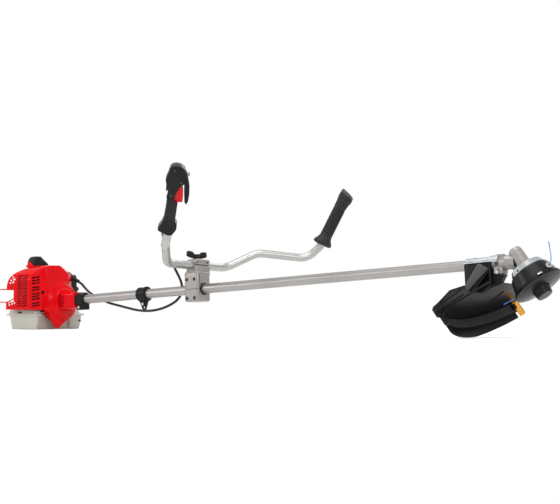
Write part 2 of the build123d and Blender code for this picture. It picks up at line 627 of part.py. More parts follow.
def make_guard():
    low, high = guard_plate_level - guard_wall, guard_plate_level
    plate = sector(guard_sweep, guard_radius, low, high) - block(-54, 60, -300, 300, -20, 0)
    wing = [(-64, -40), (-150, -140), (-163.5, -164), (-163.5, -177), (-101, -188), (-84, -152), (-64, -105)]
    wing_face = make_face(Polyline(*[(x, y, low) for x, y in wing], close=True))
    plate += extrude(wing_face, amount=guard_wall, dir=(0, 0, 1))
    band = sector(guard_sweep, guard_radius, high, band_level, guard_radius - guard_wall)
    guard = plate + band
    inside = sector(guard_sweep, guard_radius - 1, -40, 0)
    for offset in (-78, 0, 62):
        rib = block(-guard_radius, -96, offset - 1.5, offset + 1.5, low - 9, high - 1)
        guard += rib & inside

    tube_turn = Location((0, 0, 0), (0, gear_tilt, 0)) * Location((-gear_centre, 0, 0))
    pedestal = block(clamp_start, clamp_end, -21, 21, -130, -8)
    pedestal -= block(clamp_start + 4, clamp_end - 4, -18, 18, -135, -22)
    pedestal = tube_turn * pedestal
    pedestal -= rod_z(400, guard_plate_level - 200, guard_plate_level - 1)
    guard += pedestal
    guard -= tube_turn * rod_x(tube_radius + 0.3, 1240, 1350)
    guard -= tube_turn * rod_x(17.4, 1344.5, 1380)
    for x in (1285, 1328):
        for y in (-18, 18):
            guard -= tube_turn * rod_z(1.5, -22.5, 0, x, y)
    save("guard", guard, head_frame)

    outer = guard_radius + skirt_wall
    skirt = sector(skirt_sweep, outer, -28, -guard_depth(), guard_radius + 0.05)
    skirt += sector(skirt_sweep, outer, band_level - 3, band_level - 0.1, guard_radius - guard_wall)
    skirt -= prism_x([(10, -61), (180, -46), (180, -90), (10, -90)], -300, 0)
    save("guard_skirt", skirt, head_frame)

    clamp = ring_x(17, tube_radius, clamp_start, clamp_end) + ring_x(19.5, 17.05, clamp_end - 6, 1362)
    clamp += ring_x(19.5, tube_radius, clamp_end - 8, clamp_end)
    clamp &= block(1260, 1370, -30, 30, 0.5, 30)
    ears = block(clamp_start, clamp_end, -21, 21, -7.7, -4.7)
    sides = block(clamp_start, clamp_end, -17, 17, -7.7, 2) - block(1260, 1350, -14, 14, -10, 4)
    clamp += (ears + sides) - rod_x(tube_radius, 1260, 1350)
    for x in (1285, 1328):
        for y in (-18, 18):
            clamp -= rod_z(1.5, -9, -4, x, y)
    save("guard_clamp", clamp, shaft_frame)

    far_end = Location((*guard_centre, 0), (0, 0, 180 - guard_sweep[1]))
    inner_face = guard_radius - guard_wall - 0.4
    knife = block(inner_face - 1.65, inner_face, -2, 12, -50, -11.5)
    save("line_cutter", far_end * knife, head_frame)


def make_screws():
    screws = []
    for x in (-14, 12):
        for z in (-24, 26):
            screw = rod_y(2.4, -22, 20, x, z) + rod_y(4, -25, -22, x, z)
            screws.append(Location((bracket_station, 0, 0), (handle_roll, 0, 0)) * screw)
    screws.append(rod_y(2.5, -17, 14, -14, -22) + rod_y(4.2, -19, -15.2, -14, -22))
    screws.append(rod_y(2.3, -6, 6, hanger_station, -27) + rod_y(4, -7.5, -4.2, hanger_station, -27))
    screws.append(rod_y(2.5, -15, 14, 1360, -21) + rod_y(4.5, -18, -14.2, 1360, -21))
    save("clamp_screws", Compound(children=screws), shaft_frame)


# ---------------------------------------------------------------- throttle cable
def make_cable():
    save("throttle_cable", round_tube(cable_route, cable_radius))


make_tube()
make_crank()
make_rod()
make_cylinder()
make_muffler()
make_carburettor()
make_tank()
make_fan_housing()
make_engine_cover()
make_starter()
make_hanger()
make_bracket()
solid_bar = make_handlebar()
make_throttle_grip(solid_bar)
make_left_grip(solid_bar)
make_gearbox()
make_head()
make_lines()
make_guard()
make_screws()
make_cable()
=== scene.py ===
import json
import math
import bpy
from mathutils import Matrix, Vector


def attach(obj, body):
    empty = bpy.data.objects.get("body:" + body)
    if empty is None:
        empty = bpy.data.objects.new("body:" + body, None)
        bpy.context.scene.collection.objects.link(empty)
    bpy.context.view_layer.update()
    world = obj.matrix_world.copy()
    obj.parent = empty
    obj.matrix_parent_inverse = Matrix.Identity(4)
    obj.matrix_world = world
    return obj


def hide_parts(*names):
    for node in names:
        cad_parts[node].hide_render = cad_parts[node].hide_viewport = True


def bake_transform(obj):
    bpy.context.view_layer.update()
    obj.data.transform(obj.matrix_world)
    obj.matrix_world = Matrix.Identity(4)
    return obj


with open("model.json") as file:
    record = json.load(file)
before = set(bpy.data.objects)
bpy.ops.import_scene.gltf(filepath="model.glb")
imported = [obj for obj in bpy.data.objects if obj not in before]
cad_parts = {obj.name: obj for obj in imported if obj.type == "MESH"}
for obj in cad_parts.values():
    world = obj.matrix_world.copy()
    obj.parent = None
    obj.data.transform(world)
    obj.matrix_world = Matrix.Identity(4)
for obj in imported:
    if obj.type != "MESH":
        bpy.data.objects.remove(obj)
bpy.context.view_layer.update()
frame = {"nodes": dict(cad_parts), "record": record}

mm = 0.001

def shiftBy(x, y, z):
    return Matrix.Translation(Vector((x, y, z)) * mm)


def turnBy(degrees, axis):
    return Matrix.Rotation(math.radians(degrees), 4, axis)


def inMetres(points):
    return [Vector(point) * mm for point in points]


def pointedAt(place, along):
    return Matrix.Translation(place) @ along.to_track_quat("Z", "Y").to_matrix().to_4x4()


# places of the tube, the handle and the cutting head, as the frame has them
shaftPlace = Matrix.Translation((0.1686, 0, 0.0871)) @ turnBy(-3.65, "Y")
handlePlace = shaftPlace @ Matrix.Translation((0.422, 0, 0)) @ turnBy(-2.3, "X")
headPlace = shaftPlace @ Matrix.Translation((1.417, 0, 0)) @ turnBy(-34, "Y")
groundPlace = Matrix.Identity(4)
barEnd = {"bend": (184, 310, 121.2), "tip": (248, 354, 267), "inset": 2, "throttleTurn": 38}


def gripPlace(side):
    # the grip's own frame: Z along the bar's end, X forward; side is 1 on the left and -1 on the right
    start, end = inMetres([(x, side * y, z) for x, y, z in (barEnd["bend"], barEnd["tip"])])
    along = (end - start).normalized()
    forward = (Vector((1, 0, 0)) - along * along.x).normalized()
    turn = Matrix((forward, along.cross(forward), along)).transposed().to_4x4()
    place = handlePlace @ Matrix.Translation(start - along * barEnd["inset"] * mm) @ turn
    return place @ turnBy(barEnd["throttleTurn"], "Z") if side < 0 else place


# camera and light
view = {"place": (3.438, -3.2129, 0.1005), "yaw": 38.6, "pitch": 1.522, "lens": 102.86}
lights = {
    "top": {"place": (0.9, -0.8, 3.0), "aim": (0.9, 0, 0), "size": 2.6, "power": 58},
    "front": {"place": (3.4, -2.2, 1.5), "aim": (0.9, 0, 0.2), "size": 1.4, "power": 26},
    "left": {"place": (-1.6, -2.6, 1.2), "aim": (0.4, 0, 0.1), "size": 1.2, "power": 24},
    "right": {"place": (4.6, -0.6, 1.5), "aim": (1.5, 0, 0.1), "size": 1.0, "power": 22},
    "back": {"place": (0.2, 3.0, 2.0), "aim": (0.9, 0, 0.2), "size": 2.0, "power": 20},
}
# the floor fades to white from one distance to the other about its middle
studio = {"floorSize": 30, "middle": (0.8, 0, 0), "fadeStart": 0.95, "fadeEnd": 1.5,
          "floorTone": 0.8, "soft": 0.5}


def addObject(name, data):
    item = bpy.data.objects.new(name, data)
    bpy.context.collection.objects.link(item)
    return item


def buildCamera():
    data = bpy.data.cameras.new("camera")
    data.sensor_width = 36
    data.lens = view["lens"]
    data.clip_end = 60
    camera = addObject("camera", data)
    camera.location = view["place"]
    camera.rotation_euler = (math.radians(90 + view["pitch"]), 0, math.radians(view["yaw"]))
    bpy.context.scene.camera = camera


def buildLights():
    for name, lamp in lights.items():
        data = bpy.data.lights.new(name, "AREA")
        data.shape = "DISK"
        data.size = lamp["size"]
        data.energy = lamp["power"]
        item = addObject(name, data)
        item.location = lamp["place"]
        aim = Vector(lamp["aim"]) - Vector(lamp["place"])
        item.rotation_euler = aim.to_track_quat("-Z", "Y").to_euler()


def setInputs(node, values):
    for name, value in values.items():
        node.inputs[name].default_value = value
    return node


def mathOf(nodes, links, operation, first, second):
    step = nodes.new("ShaderNodeMath")
    step.operation = operation
    for socket, value in zip(step.inputs, (first, second)):
        if isinstance(value, float):
            socket.default_value = value
        else:
            links.new(value, socket)
    return step.outputs[0]


def seenRays(nodes, links):
    # camera, mirror and glass rays see white; the object is lit by the softer grey
    ray = nodes.new("ShaderNodeLightPath")
    seen = ray.outputs["Is Camera Ray"]
    for name in ("Is Glossy Ray", "Is Transmission Ray"):
        seen = mathOf(nodes, links, "MAXIMUM", seen, ray.outputs[name])
    return seen


def mixShaders(nodes, links, share, first, second, output):
    mix = nodes.new("ShaderNodeMixShader")
    for value, socket in zip((share, first.outputs[0], second.outputs[0]), mix.inputs):
        links.new(value, socket)
    links.new(mix.outputs[0], nodes.new(output).inputs["Surface"])


def buildWorld():
    world = bpy.data.worlds.new("studio")
    bpy.context.scene.world = world
    world.use_nodes = True
    nodes, links = world.node_tree.nodes, world.node_tree.links
    nodes.clear()
    soft = setInputs(nodes.new("ShaderNodeBackground"), {"Color": (1, 1, 1, 1), "Strength": studio["soft"]})
    white = setInputs(nodes.new("ShaderNodeBackground"), {"Color": (1, 1, 1, 1), "Strength": 1})
    mixShaders(nodes, links, seenRays(nodes, links), soft, white, "ShaderNodeOutputWorld")


def buildFloor():
    # white away from the object, so that only its shadow shows
    bpy.ops.mesh.primitive_plane_add(size=studio["floorSize"], location=(0, 0, 0))
    floor = bpy.context.active_object
    floor.name = "studioFloor"
    paint = bpy.data.materials.new("floorPaint")
    paint.use_nodes = True
    nodes, links = paint.node_tree.nodes, paint.node_tree.links
    nodes.clear()
    seen = seenRays(nodes, links)
    where = nodes.new("ShaderNodeTexCoord")
    apart = nodes.new("ShaderNodeVectorMath")
    apart.operation = "DISTANCE"
    apart.inputs[1].default_value = studio["middle"]
    links.new(where.outputs["Object"], apart.inputs[0])
    ramp = nodes.new("ShaderNodeMapRange")
    setInputs(ramp, {"From Min": studio["fadeStart"], "From Max": studio["fadeEnd"]})
    ramp.interpolation_type = "SMOOTHSTEP"
    links.new(apart.outputs["Value"], ramp.inputs["Value"])
    matt = setInputs(nodes.new("ShaderNodeBsdfDiffuse"), {"Color": (*[studio["floorTone"]] * 3, 1)})
    glow = nodes.new("ShaderNodeEmission")
    links.new(mathOf(nodes, links, "MULTIPLY", seen, studio["soft"]), glow.inputs["Strength"])
    both = nodes.new("ShaderNodeAddShader")
    links.new(matt.outputs[0], both.inputs[0])
    links.new(glow.outputs[0], both.inputs[1])
    fade = mathOf(nodes, links, "MULTIPLY", seen, ramp.outputs["Result"])
    mixShaders(nodes, links, fade, both, nodes.new("ShaderNodeEmission"), "ShaderNodeOutputMaterial")
    floor.data.materials.append(paint)


# small tools
def deselectAll():
    for item in list(bpy.context.selected_objects):
        item.select_set(False)


def pick(*pieces):
    deselectAll()
    for piece in pieces:
        piece.select_set(True)
    bpy.context.view_layer.objects.active = pieces[0]


def keepPlace(piece):
    pick(piece)
    bpy.ops.object.transform_apply(location=True, rotation=True, scale=True)


def applyStep(piece, kind, **settings):
    pick(piece)
    step = piece.modifiers.new(kind.lower(), kind)
    for key, value in settings.items():
        setattr(step, key, value)
    bpy.ops.object.modifier_apply(modifier=step.name)


def roundEdges(piece, width, segments=3, angle=30):
    applyStep(piece, "BEVEL", width=width * mm, segments=segments, limit_method="ANGLE",
              angle_limit=math.radians(angle), use_clamp_overlap=True)


def smoothShade(piece, angle=32):
    pick(piece)
    bpy.ops.object.shade_smooth_by_angle(angle=math.radians(angle))


def block(name, low, high, turn=0):
    deselectAll()
    centre = [(a + b) / 2 * mm for a, b in zip(low, high)]
    bpy.ops.mesh.primitive_cube_add(size=1, location=centre)
    piece = bpy.context.active_object
    piece.name = name
    piece.scale = [(b - a) * mm for a, b in zip(low, high)]
    if turn:
        piece.rotation_euler.y = math.radians(turn)
    keepPlace(piece)
    return piece


def rod(name, radius, start, end, sides=48, tip=None):
    deselectAll()
    start, end = Vector(start) * mm, Vector(end) * mm
    if tip is None:
        tip = radius
    bpy.ops.mesh.primitive_cone_add(vertices=sides, radius1=radius * mm, radius2=tip * mm,
                                    depth=(end - start).length, location=(start + end) / 2)
    piece = bpy.context.active_object
    piece.name = name
    piece.rotation_euler = (end - start).to_track_quat("Z", "Y").to_euler()
    keepPlace(piece)
    return piece


def openMesh(piece):
    pick(piece)
    bpy.ops.object.mode_set(mode="EDIT")
    bpy.ops.mesh.select_all(action="SELECT")


def closeMesh():
    bpy.ops.mesh.select_all(action="SELECT")
    bpy.ops.mesh.normals_make_consistent(inside=False)
    bpy.ops.object.mode_set(mode="OBJECT")


def drawLine(name, points, closed=False):
    # a single point is pushed along the outline, as with the extrude key
    deselectAll()
    bpy.ops.mesh.primitive_plane_add(size=0.001, location=(0, 0, 0))
    piece = bpy.context.active_object
    piece.name = name
    openMesh(piece)
    bpy.ops.mesh.merge(type="CENTER")
    places = inMetres(points)
    bpy.ops.transform.translate(value=places[0])
    for before, after in zip(places, places[1:]):
        bpy.ops.mesh.extrude_region_move(TRANSFORM_OT_translate={"value": after - before})
    if closed:
        bpy.ops.mesh.select_all(action="SELECT")
        bpy.ops.mesh.edge_face_add()
    bpy.ops.object.mode_set(mode="OBJECT")
    return piece


def plate(name, points, push):
    # a flat outline pushed into a solid
    piece = drawLine(name, points, closed=True)
    openMesh(piece)
    bpy.ops.mesh.extrude_region_move(TRANSFORM_OT_translate={"value": Vector(push) * mm})
    closeMesh()
    return piece


def turned(name, points, steps=72):
    # radius and height pairs turned about the Z axis
    piece = drawLine(name, [(r, 0, z) for r, z in points])
    openMesh(piece)
    bpy.ops.mesh.spin(steps=steps, angle=2 * math.pi, center=(0, 0, 0), axis=(0, 0, 1))
    bpy.ops.mesh.select_all(action="SELECT")
    bpy.ops.mesh.remove_doubles(threshold=0.000005)
    closeMesh()
    return piece


def moved(piece, matrix):
    piece.data.transform(matrix)
    return piece


def turnedAlong(name, points, steps=72):
    # place and radius pairs turned about the X axis
    return moved(turned(name, [(r, x) for x, r in points], steps), turnBy(90, "Y"))


def softBlock(name, low, high, width, *edge):
    piece = block(name, low, high)
    roundEdges(piece, width, *edge)
    return piece


def softPlate(name, points, push, width, *edge):
    piece = plate(name, points, push)
    roundEdges(piece, width, *edge)
    return piece


def softRod(name, radius, points):
    pieces = [rod(name, radius, a, b, 20) for a, b in zip(points, points[1:])]
    for spot in points:
        deselectAll()
        bpy.ops.mesh.primitive_uv_sphere_add(segments=20, ring_count=12, radius=radius * mm,
                                             location=Vector(spot) * mm)
        ball = bpy.context.active_object
        keepPlace(ball)
        pieces.append(ball)
    return joinPieces(*pieces)


def joinPieces(piece, *others):
    pick(piece, *others)
    bpy.ops.object.join()
    return piece


def cutAway(piece, *cutters):
    cutter = cutters[0] if len(cutters) == 1 else joinPieces(*cutters)
    applyStep(piece, "BOOLEAN", object=cutter, operation="DIFFERENCE", solver="EXACT", use_self=True)
    bpy.data.objects.remove(cutter)
    return piece


def addOn(piece, *others):
    for other in others:
        applyStep(piece, "BOOLEAN", object=other, operation="UNION", solver="EXACT")
        bpy.data.objects.remove(other)
    return piece


def keepInside(piece, other):
    applyStep(piece, "BOOLEAN", object=other, operation="INTERSECT", solver="EXACT")
    bpy.data.objects.remove(other)
    return piece


def bisectOff(piece, place, normal):
    openMesh(piece)
    bpy.ops.mesh.bisect(plane_co=Vector(place) * mm, plane_no=normal, use_fill=True, clear_outer=True)
    bpy.ops.object.mode_set(mode="OBJECT")


def carve(piece, name, *corners):
    cutAway(piece, block(name, *corners))


def carveAll(piece, openings):
    for name, corners in openings.items():
        carve(piece, name, *corners)


def drill(piece, name, *measures):
    cutAway(piece, rod(name, *measures))


def copyOf(piece, name, matrix):
    twin = piece.copy()
    twin.data = piece.data.copy()
    twin.name = name
    bpy.context.collection.objects.link(twin)
    twin.data.transform(matrix)
    return twin


def settle(piece, place, slot, *nodes, body="frame", look=None, angle=32):
    # last step of every piece: its place goes into its mesh, then it rides on its body
    piece.data.transform(place)
    piece.data.materials.clear()
    piece.data.materials.append(looks[look or slotLooks[slot]])
    smoothShade(piece, angle)
    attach(piece, body)
    if nodes:
        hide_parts(*nodes)
    return piece


def arcPoints(centre, radius, start, end, steps):
    points = []
    for i in range(steps + 1):
        angle = math.radians(start + (end - start) * i / steps)
        points.append((centre[0] + radius * math.cos(angle), centre[1] + radius * math.sin(angle)))
    return points


# materials
# two colours, roughness, grain, its depth in mm, spread of the roughness, specular level
mouldedLooks = {
    "redShell": ((0.66, 0.0, 0.003), (0.74, 0.0, 0.004), 0.16, 900, 0.01, 0.03, 0.12),
    "darkPlastic": ((0.009, 0.009, 0.010), (0.016, 0.016, 0.017), 0.28, 1400, 0.04, 0.05, 0.12),
    "guardPlastic": ((0.007, 0.007, 0.008), (0.013, 0.013, 0.014), 0.34, 1100, 0.04, 0.06, 0.1),
    # the band plastic is the guard plastic made lighter: painted light on the inside of the guard's band
    "litBandPlastic": ((0.040, 0.040, 0.042), (0.055, 0.055, 0.057), 0.34, 1100, 0.03, 0.06, 0.1),
    "tankPlastic": ((0.53, 0.53, 0.47), (0.58, 0.58, 0.52), 0.40, 800, 0.05, 0.05),
    "gripRubber": ((0.008, 0.008, 0.008), (0.014, 0.014, 0.014), 0.62, 2000, 0.08),
    "endCap": ((0.05, 0.05, 0.055), (0.07, 0.07, 0.075), 0.45, 1400, 0.05),
    "redTrigger": ((0.60, 0.0, 0.004), (0.68, 0.0, 0.005), 0.32, 900, 0.02, 0.04),
    "switchGrey": ((0.30, 0.30, 0.31), (0.34, 0.34, 0.35), 0.45, 1400, 0.04),
    "filterFoam": ((0.03, 0.03, 0.03), (0.08, 0.08, 0.08), 0.9, 1500, 0.6),
    "cableSheath": ((0.006, 0.006, 0.007), (0.010, 0.010, 0.011), 0.36, 1200, 0.02),
    "ropeLook": ((0.35, 0.34, 0.30), (0.50, 0.49, 0.45), 0.8, 1600, 0.3),
}
# two colours, roughness, stretch and scale of the lines, their depth in mm, metallic, spread
metalLooks = {
    "tubeMetal": ((0.29, 0.277, 0.267), (0.32, 0.307, 0.297), 0.40, (1, 90, 90), 60, 0.004, 1.0, 0.03),
    "barMetal": ((0.37, 0.365, 0.35), (0.41, 0.405, 0.385), 0.34, (1, 1, 1), 300, 0.004, 0.75),
    "castMetal": ((0.275, 0.257, 0.244), (0.32, 0.30, 0.284), 0.42, (1, 1, 1), 700, 0.03, 0.6),
    "zincPlate": ((0.38, 0.405, 0.42), (0.43, 0.455, 0.47), 0.34, (1, 1, 1), 20, 0.001),
    "engineCasting": ((0.34, 0.34, 0.33), (0.40, 0.40, 0.39), 0.52, (1, 1, 1), 500, 0.05),
    "steel": ((0.42, 0.42, 0.42), (0.48, 0.48, 0.48), 0.30, (1, 1, 1), 260, 0.004),
    "darkSteel": ((0.04, 0.04, 0.04), (0.08, 0.075, 0.07), 0.5, (1, 1, 1), 400, 0.03, 0.6),
    "bronze": ((0.50, 0.36, 0.18), (0.58, 0.43, 0.24), 0.42, (1, 1, 1), 500, 0.02),
    "cutterGold": ((0.74, 0.34, 0.04), (0.82, 0.42, 0.07), 0.34, (1, 1, 6), 240, 0.004, 0.7),
}


def startLook(name, colour, rough, metallic=0.0):
    look = bpy.data.materials.new(name)
    look.use_nodes = True
    look.diffuse_color = (*colour, 1)
    shader = look.node_tree.nodes["Principled BSDF"]
    setInputs(shader, {"Base Color": (*colour, 1), "Roughness": rough, "Metallic": metallic})
    return look, look.node_tree.nodes, look.node_tree.links, shader


def noiseFrom(nodes, links, scale, detail, stretch=(1, 1, 1)):
    where = nodes.new("ShaderNodeTexCoord")
    mapping = setInputs(nodes.new("ShaderNodeMapping"), {"Scale": stretch})
    noise = setInputs(nodes.new("ShaderNodeTexNoise"), {"Scale": scale, "Detail": detail})
    links.new(where.outputs["Object"], mapping.inputs["Vector"])
    links.new(mapping.outputs["Vector"], noise.inputs["Vector"])
    return noise


def spreadOf(nodes, links, source, low, high):
    spread = nodes.new("ShaderNodeMapRange")
    setInputs(spread, {"From Min": 0.3, "From Max": 0.7, "To Min": low, "To Max": high})
    links.new(source, spread.inputs["Value"])
    return spread.outputs["Result"]


def bumpFrom(nodes, links, shader, source, strength, depth):
    bump = setInputs(nodes.new("ShaderNodeBump"), {"Strength": strength, "Distance": depth * mm})
    links.new(source, bump.inputs["Height"])
    links.new(bump.outputs["Normal"], shader.inputs["Normal"])


def colourSpread(nodes, links, shader, source, first, second):
    mix = nodes.new("ShaderNodeMix")
    mix.data_type = "RGBA"
    mix.inputs[6].default_value = (*first, 1)
    mix.inputs[7].default_value = (*second, 1)
    links.new(source, mix.inputs[0])
    links.new(mix.outputs[2], shader.inputs["Base Color"])


def mouldedLook(name, first, second, rough, grain, depth, spread=0.06, shine=0.3):
    look, nodes, links, shader = startLook(name, first, rough)
    setInputs(shader, {"Specular IOR Level": shine})
    broad = noiseFrom(nodes, links, 18, 3)
    fine = noiseFrom(nodes, links, grain, 2)
    colourSpread(nodes, links, shader, spreadOf(nodes, links, broad.outputs["Fac"], 0, 1), first, second)
    links.new(spreadOf(nodes, links, broad.outputs["Fac"], rough - spread, rough + spread),
              shader.inputs["Roughness"])
    bumpFrom(nodes, links, shader, fine.outputs["Fac"], 0.35, depth)
    return look


def metalLook(name, first, second, rough, stretch, scale, depth, metallic=1.0, spread=0.08):
    look, nodes, links, shader = startLook(name, first, rough, metallic)
    lines = noiseFrom(nodes, links, scale, 3, stretch)
    broad = noiseFrom(nodes, links, 9, 3)
    colourSpread(nodes, links, shader, spreadOf(nodes, links, broad.outputs["Fac"], 0, 1), first, second)
    links.new(spreadOf(nodes, links, lines.outputs["Fac"], rough - spread, rough + spread),
              shader.inputs["Roughness"])
    bumpFrom(nodes, links, shader, lines.outputs["Fac"], 0.08, depth)
    return look


def buildLooks():
    looks = {name: mouldedLook(name, *values) for name, values in mouldedLooks.items()}
    looks.update({name: metalLook(name, *values) for name, values in metalLooks.items()})
    looks["nylonLine"], nodes, links, shader = startLook("nylonLine", (0.03, 0.16, 0.62), 0.22)
    broad = noiseFrom(nodes, links, 40, 2)
    colourSpread(nodes, links, shader, broad.outputs["Fac"], (0.02, 0.12, 0.52), (0.05, 0.24, 0.74))
    setInputs(shader, {"Coat Weight": 0.4})
    looks["primerClear"], nodes, links, shader = startLook("primerClear", (0.62, 0.52, 0.36), 0.12)
    setInputs(shader, {"Transmission Weight": 0.7, "IOR": 1.45})
    bumpFrom(nodes, links, shader, noiseFrom(nodes, links, 300, 2).outputs["Fac"], 0.1, 0.02)
    tank = looks["tankPlastic"].node_tree.nodes["Principled BSDF"]
    setInputs(tank, {"Subsurface Weight": 0.12, "Subsurface Radius": (0.01, 0.01, 0.008)})
    return looks


slotLooks = {
    "red_shell": "redShell", "dark_plastic": "darkPlastic", "tank_plastic": "tankPlastic",
    "rubber_grip": "gripRubber", "end_cap": "endCap", "tube_metal": "tubeMetal", "bar_metal": "barMetal",
    "cast_metal": "castMetal", "zinc_plate": "zincPlate", "engine_casting": "engineCasting", "steel": "steel",
    "dark_steel": "darkSteel", "bronze": "bronze", "nylon_line": "nylonLine", "cutter_gold": "cutterGold",
    "red_trigger": "redTrigger", "switch_grey": "switchGrey", "primer_clear": "primerClear",
    "filter_foam": "filterFoam", "cable_sheath": "cableSheath",
}


def dressNodes(looks):
    for part in frame["record"]["subparts"]:
        piece = frame["nodes"][part["node"]]
        look = looks[slotLooks[part["material_slot"]]]
        if not piece.material_slots:
            piece.data.materials.append(look)
        for slot in piece.material_slots:
            slot.material = look


# cable and cutting line
throttleCable = {
    "thickness": 7.0,
    "route": [(41, 65.5, 147.5), (51, 77, 141), (68, 81, 131.5), (86, 74, 121.5), (108, 62.5, 113.5),
              (140, 46, 103), (200.9, 26, 86.3), (250.6, 12, 75.7), (298.5, 3, 69), (340.8, -4, 62.2),
              (381.7, -10.5, 56.6), (420.2, -10.5, 54.9), (454.6, -3, 59.5), (483.2, 9, 71.5),
              (501, 19.5, 85.5), (513.5, 22.5, 103), (523, 14, 121.5), (532.3, -2.2, 138),
              (543.3, -26.8, 155.4), (551.6, -50.8, 173.9), (559.2, -72.9, 192), (569.1, -95.7, 210.1),
              (582.2, -118.5, 226.5), (605.2, -148.8, 239.7), (636.5, -185.2, 248.8), (671.1, -224.2, 251.8),
              (704, -261, 252), (728, -285, 254), (744, -298, 259)],
    "bootRings": [(7.2, -8), (7.2, 4), (6.2, 5), (6.2, 7), (6.9, 8), (6.9, 10), (5.6, 11), (5.6, 13),
                  (6.2, 14), (6.2, 16), (5.0, 17), (5.0, 19), (5.5, 20), (5.3, 23), (3.4, 25)],
}
cuttingLine = {
    "thickness": 2.4,
    "long": [(46, -14, -57), (59, -18, -57), (68, -19, -52.5), (74.5, -18, -43.5), (79, -16.8, -32.5),
             (84, -16, -23), (89, -16.6, -14)],
    "short": [(-46, 14, -57), (-59, 18, -57), (-68, 15, -55), (-76, 6, -53.5), (-83, -6, -54),
              (-90, -20, -57)],
}


def cordCurve(name, points, thickness):
    data = bpy.data.curves.new(name, "CURVE")
    data.dimensions = "3D"
    data.bevel_depth = thickness / 2
    data.bevel_resolution = 5
    data.use_fill_caps = True
    spline = data.splines.new("NURBS")
    spline.points.add(len(points) - 1)
    for spot, place in zip(spline.points, points):
        spot.co = (*place, 1)
    spline.order_u = 3
    spline.use_endpoint_u = True
    spline.resolution_u = 8
    return addObject(name, data)


def lineLength(cord):
    flat = cord.data.copy()
    flat.bevel_depth = 0
    probe = addObject("probe", flat)
    mesh = bpy.data.meshes.new_from_object(probe)
    places = [v.co.copy() for v in mesh.vertices]
    bpy.data.objects.remove(probe)
    return sum((b - a).length for a, b in zip(places, places[1:]))


def buildBoot(route):
    # ribbed sleeve where the cable leaves the engine cover
    boot = turned("cableBoot", [(0, -8)] + throttleCable["bootRings"], 40)
    return settle(boot, pointedAt(route[0], route[1] - route[0]), "dark_plastic")


def buildCords(looks):
    route = inMetres(throttleCable["route"])
    cable = cordCurve("throttleCable", route, throttleCable["thickness"] * mm)
    cable.data.materials.append(looks["cableSheath"])
    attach(cable, "frame")
    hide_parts("throttle_cable")
    round(lineLength(cable), 3)
    buildBoot(route)
    for name, node in (("long", "line_a"), ("short", "line_b")):
        route = [headPlace @ point for point in inMetres(cuttingLine[name])]
        line = cordCurve(name + "Line", route, cuttingLine["thickness"] * mm)
        line.data.materials.append(looks["nylonLine"])
        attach(line, "output")
        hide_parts(node)
        round(lineLength(line), 3)


# engine cover
engineCover = {
    "sideLine": [(-104, 20), (-104, 142), (-98, 160), (-84, 173), (-62, 181.5), (-46, 184), (34, 184),
                 (52, 178), (62, 162), (62, 20)],
    "backLine": [(-54, 20), (-54, 100), (-50, 130), (-40, 150), (-20, 165), (0, 174), (16, 184), (72, 184),
                 (72, 20)],
    "wall": 2.5, "cornerTrim": ((47, -104, 0), (0.859, -0.512, 0)),
    "topTrim": ((72, -12, 184), (0.519, 0.474, 0.731)),
    "openings": {
        "baseOpening": ((-200, -200, 0), (200, 200, 57)), "rearOpening": ((-80, -98, 20), (-30, 58, 151)),
        "sideOpening": ((-70, 50, 40), (30, 90, 156)), "finOpening": ((-44, -42, 144), (-9, 42, 172)),
        "neckOpening": ((40, -50, 40), (90, 50, 64)), "notch": ((-70, -120, 80), (-21, -88, 113)),
    },
    "sideSlots": range(151, 66, -7),
    "sideColumns": [(-7, 13), (16, 36)],
    "cornerSlots": [147, 139, 131, 119, 112, 101, 93.5, 86, 74, 67],
    "holes": [(-40, -32, 131), (-29, -19, 133), (-37, -28, 138.5), (-25, -14, 141), (-31, -22, 147),
              (-44, -36, 68), (-33, -25, 71), (-46, -38, 75), (-35, -26, 78), (-23, -15, 74)],
    "slotDepth": (-112, -92), "sideLean": -12, "cornerLean": -10,
    "prongs": [114.7, 78.2],
}


def insetLine(points, gap):
    # moves a clockwise outline inwards by the same gap on every side
    inset = []
    for i, point in enumerate(points):
        before, here, after = (Vector(p) for p in (points[i - 1], point, points[(i + 1) % len(points)]))
        first, second = (here - before).normalized(), (after - here).normalized()
        one, two = Vector((first.y, -first.x)), Vector((second.y, -second.x))
        half = (one + two).normalized()
        inset.append(tuple(here + half * (gap / half.dot(one))))
    return inset


def trimForm(form, trim, gap):
    place, out = trim
    bisectOff(form, [p - o * gap for p, o in zip(place, out)], out)


def coverForm(name, gap, soft):
    side = insetLine(engineCover["sideLine"], gap)
    back = insetLine(engineCover["backLine"], gap)
    form = plate(name, [(-90, y, z) for y, z in side], (162 - gap, 0, 0))
    form = keepInside(form, plate("backForm", [(x, -140, z) for x, z in back], (0, 240, 0)))
    trimForm(form, engineCover["cornerTrim"], gap)
    corner = [(72 - gap, 24 - 0.5 * gap), (90, 0), (90, 90), (44 - 0.5 * gap, 62 - gap)]
    cutAway(form, plate("cornerStep", [(x, y, 104) for x, y in corner], (0, 0, 100)))
    trimForm(form, engineCover["topTrim"], gap)
    roundEdges(form, soft, 4, 9)
    return form


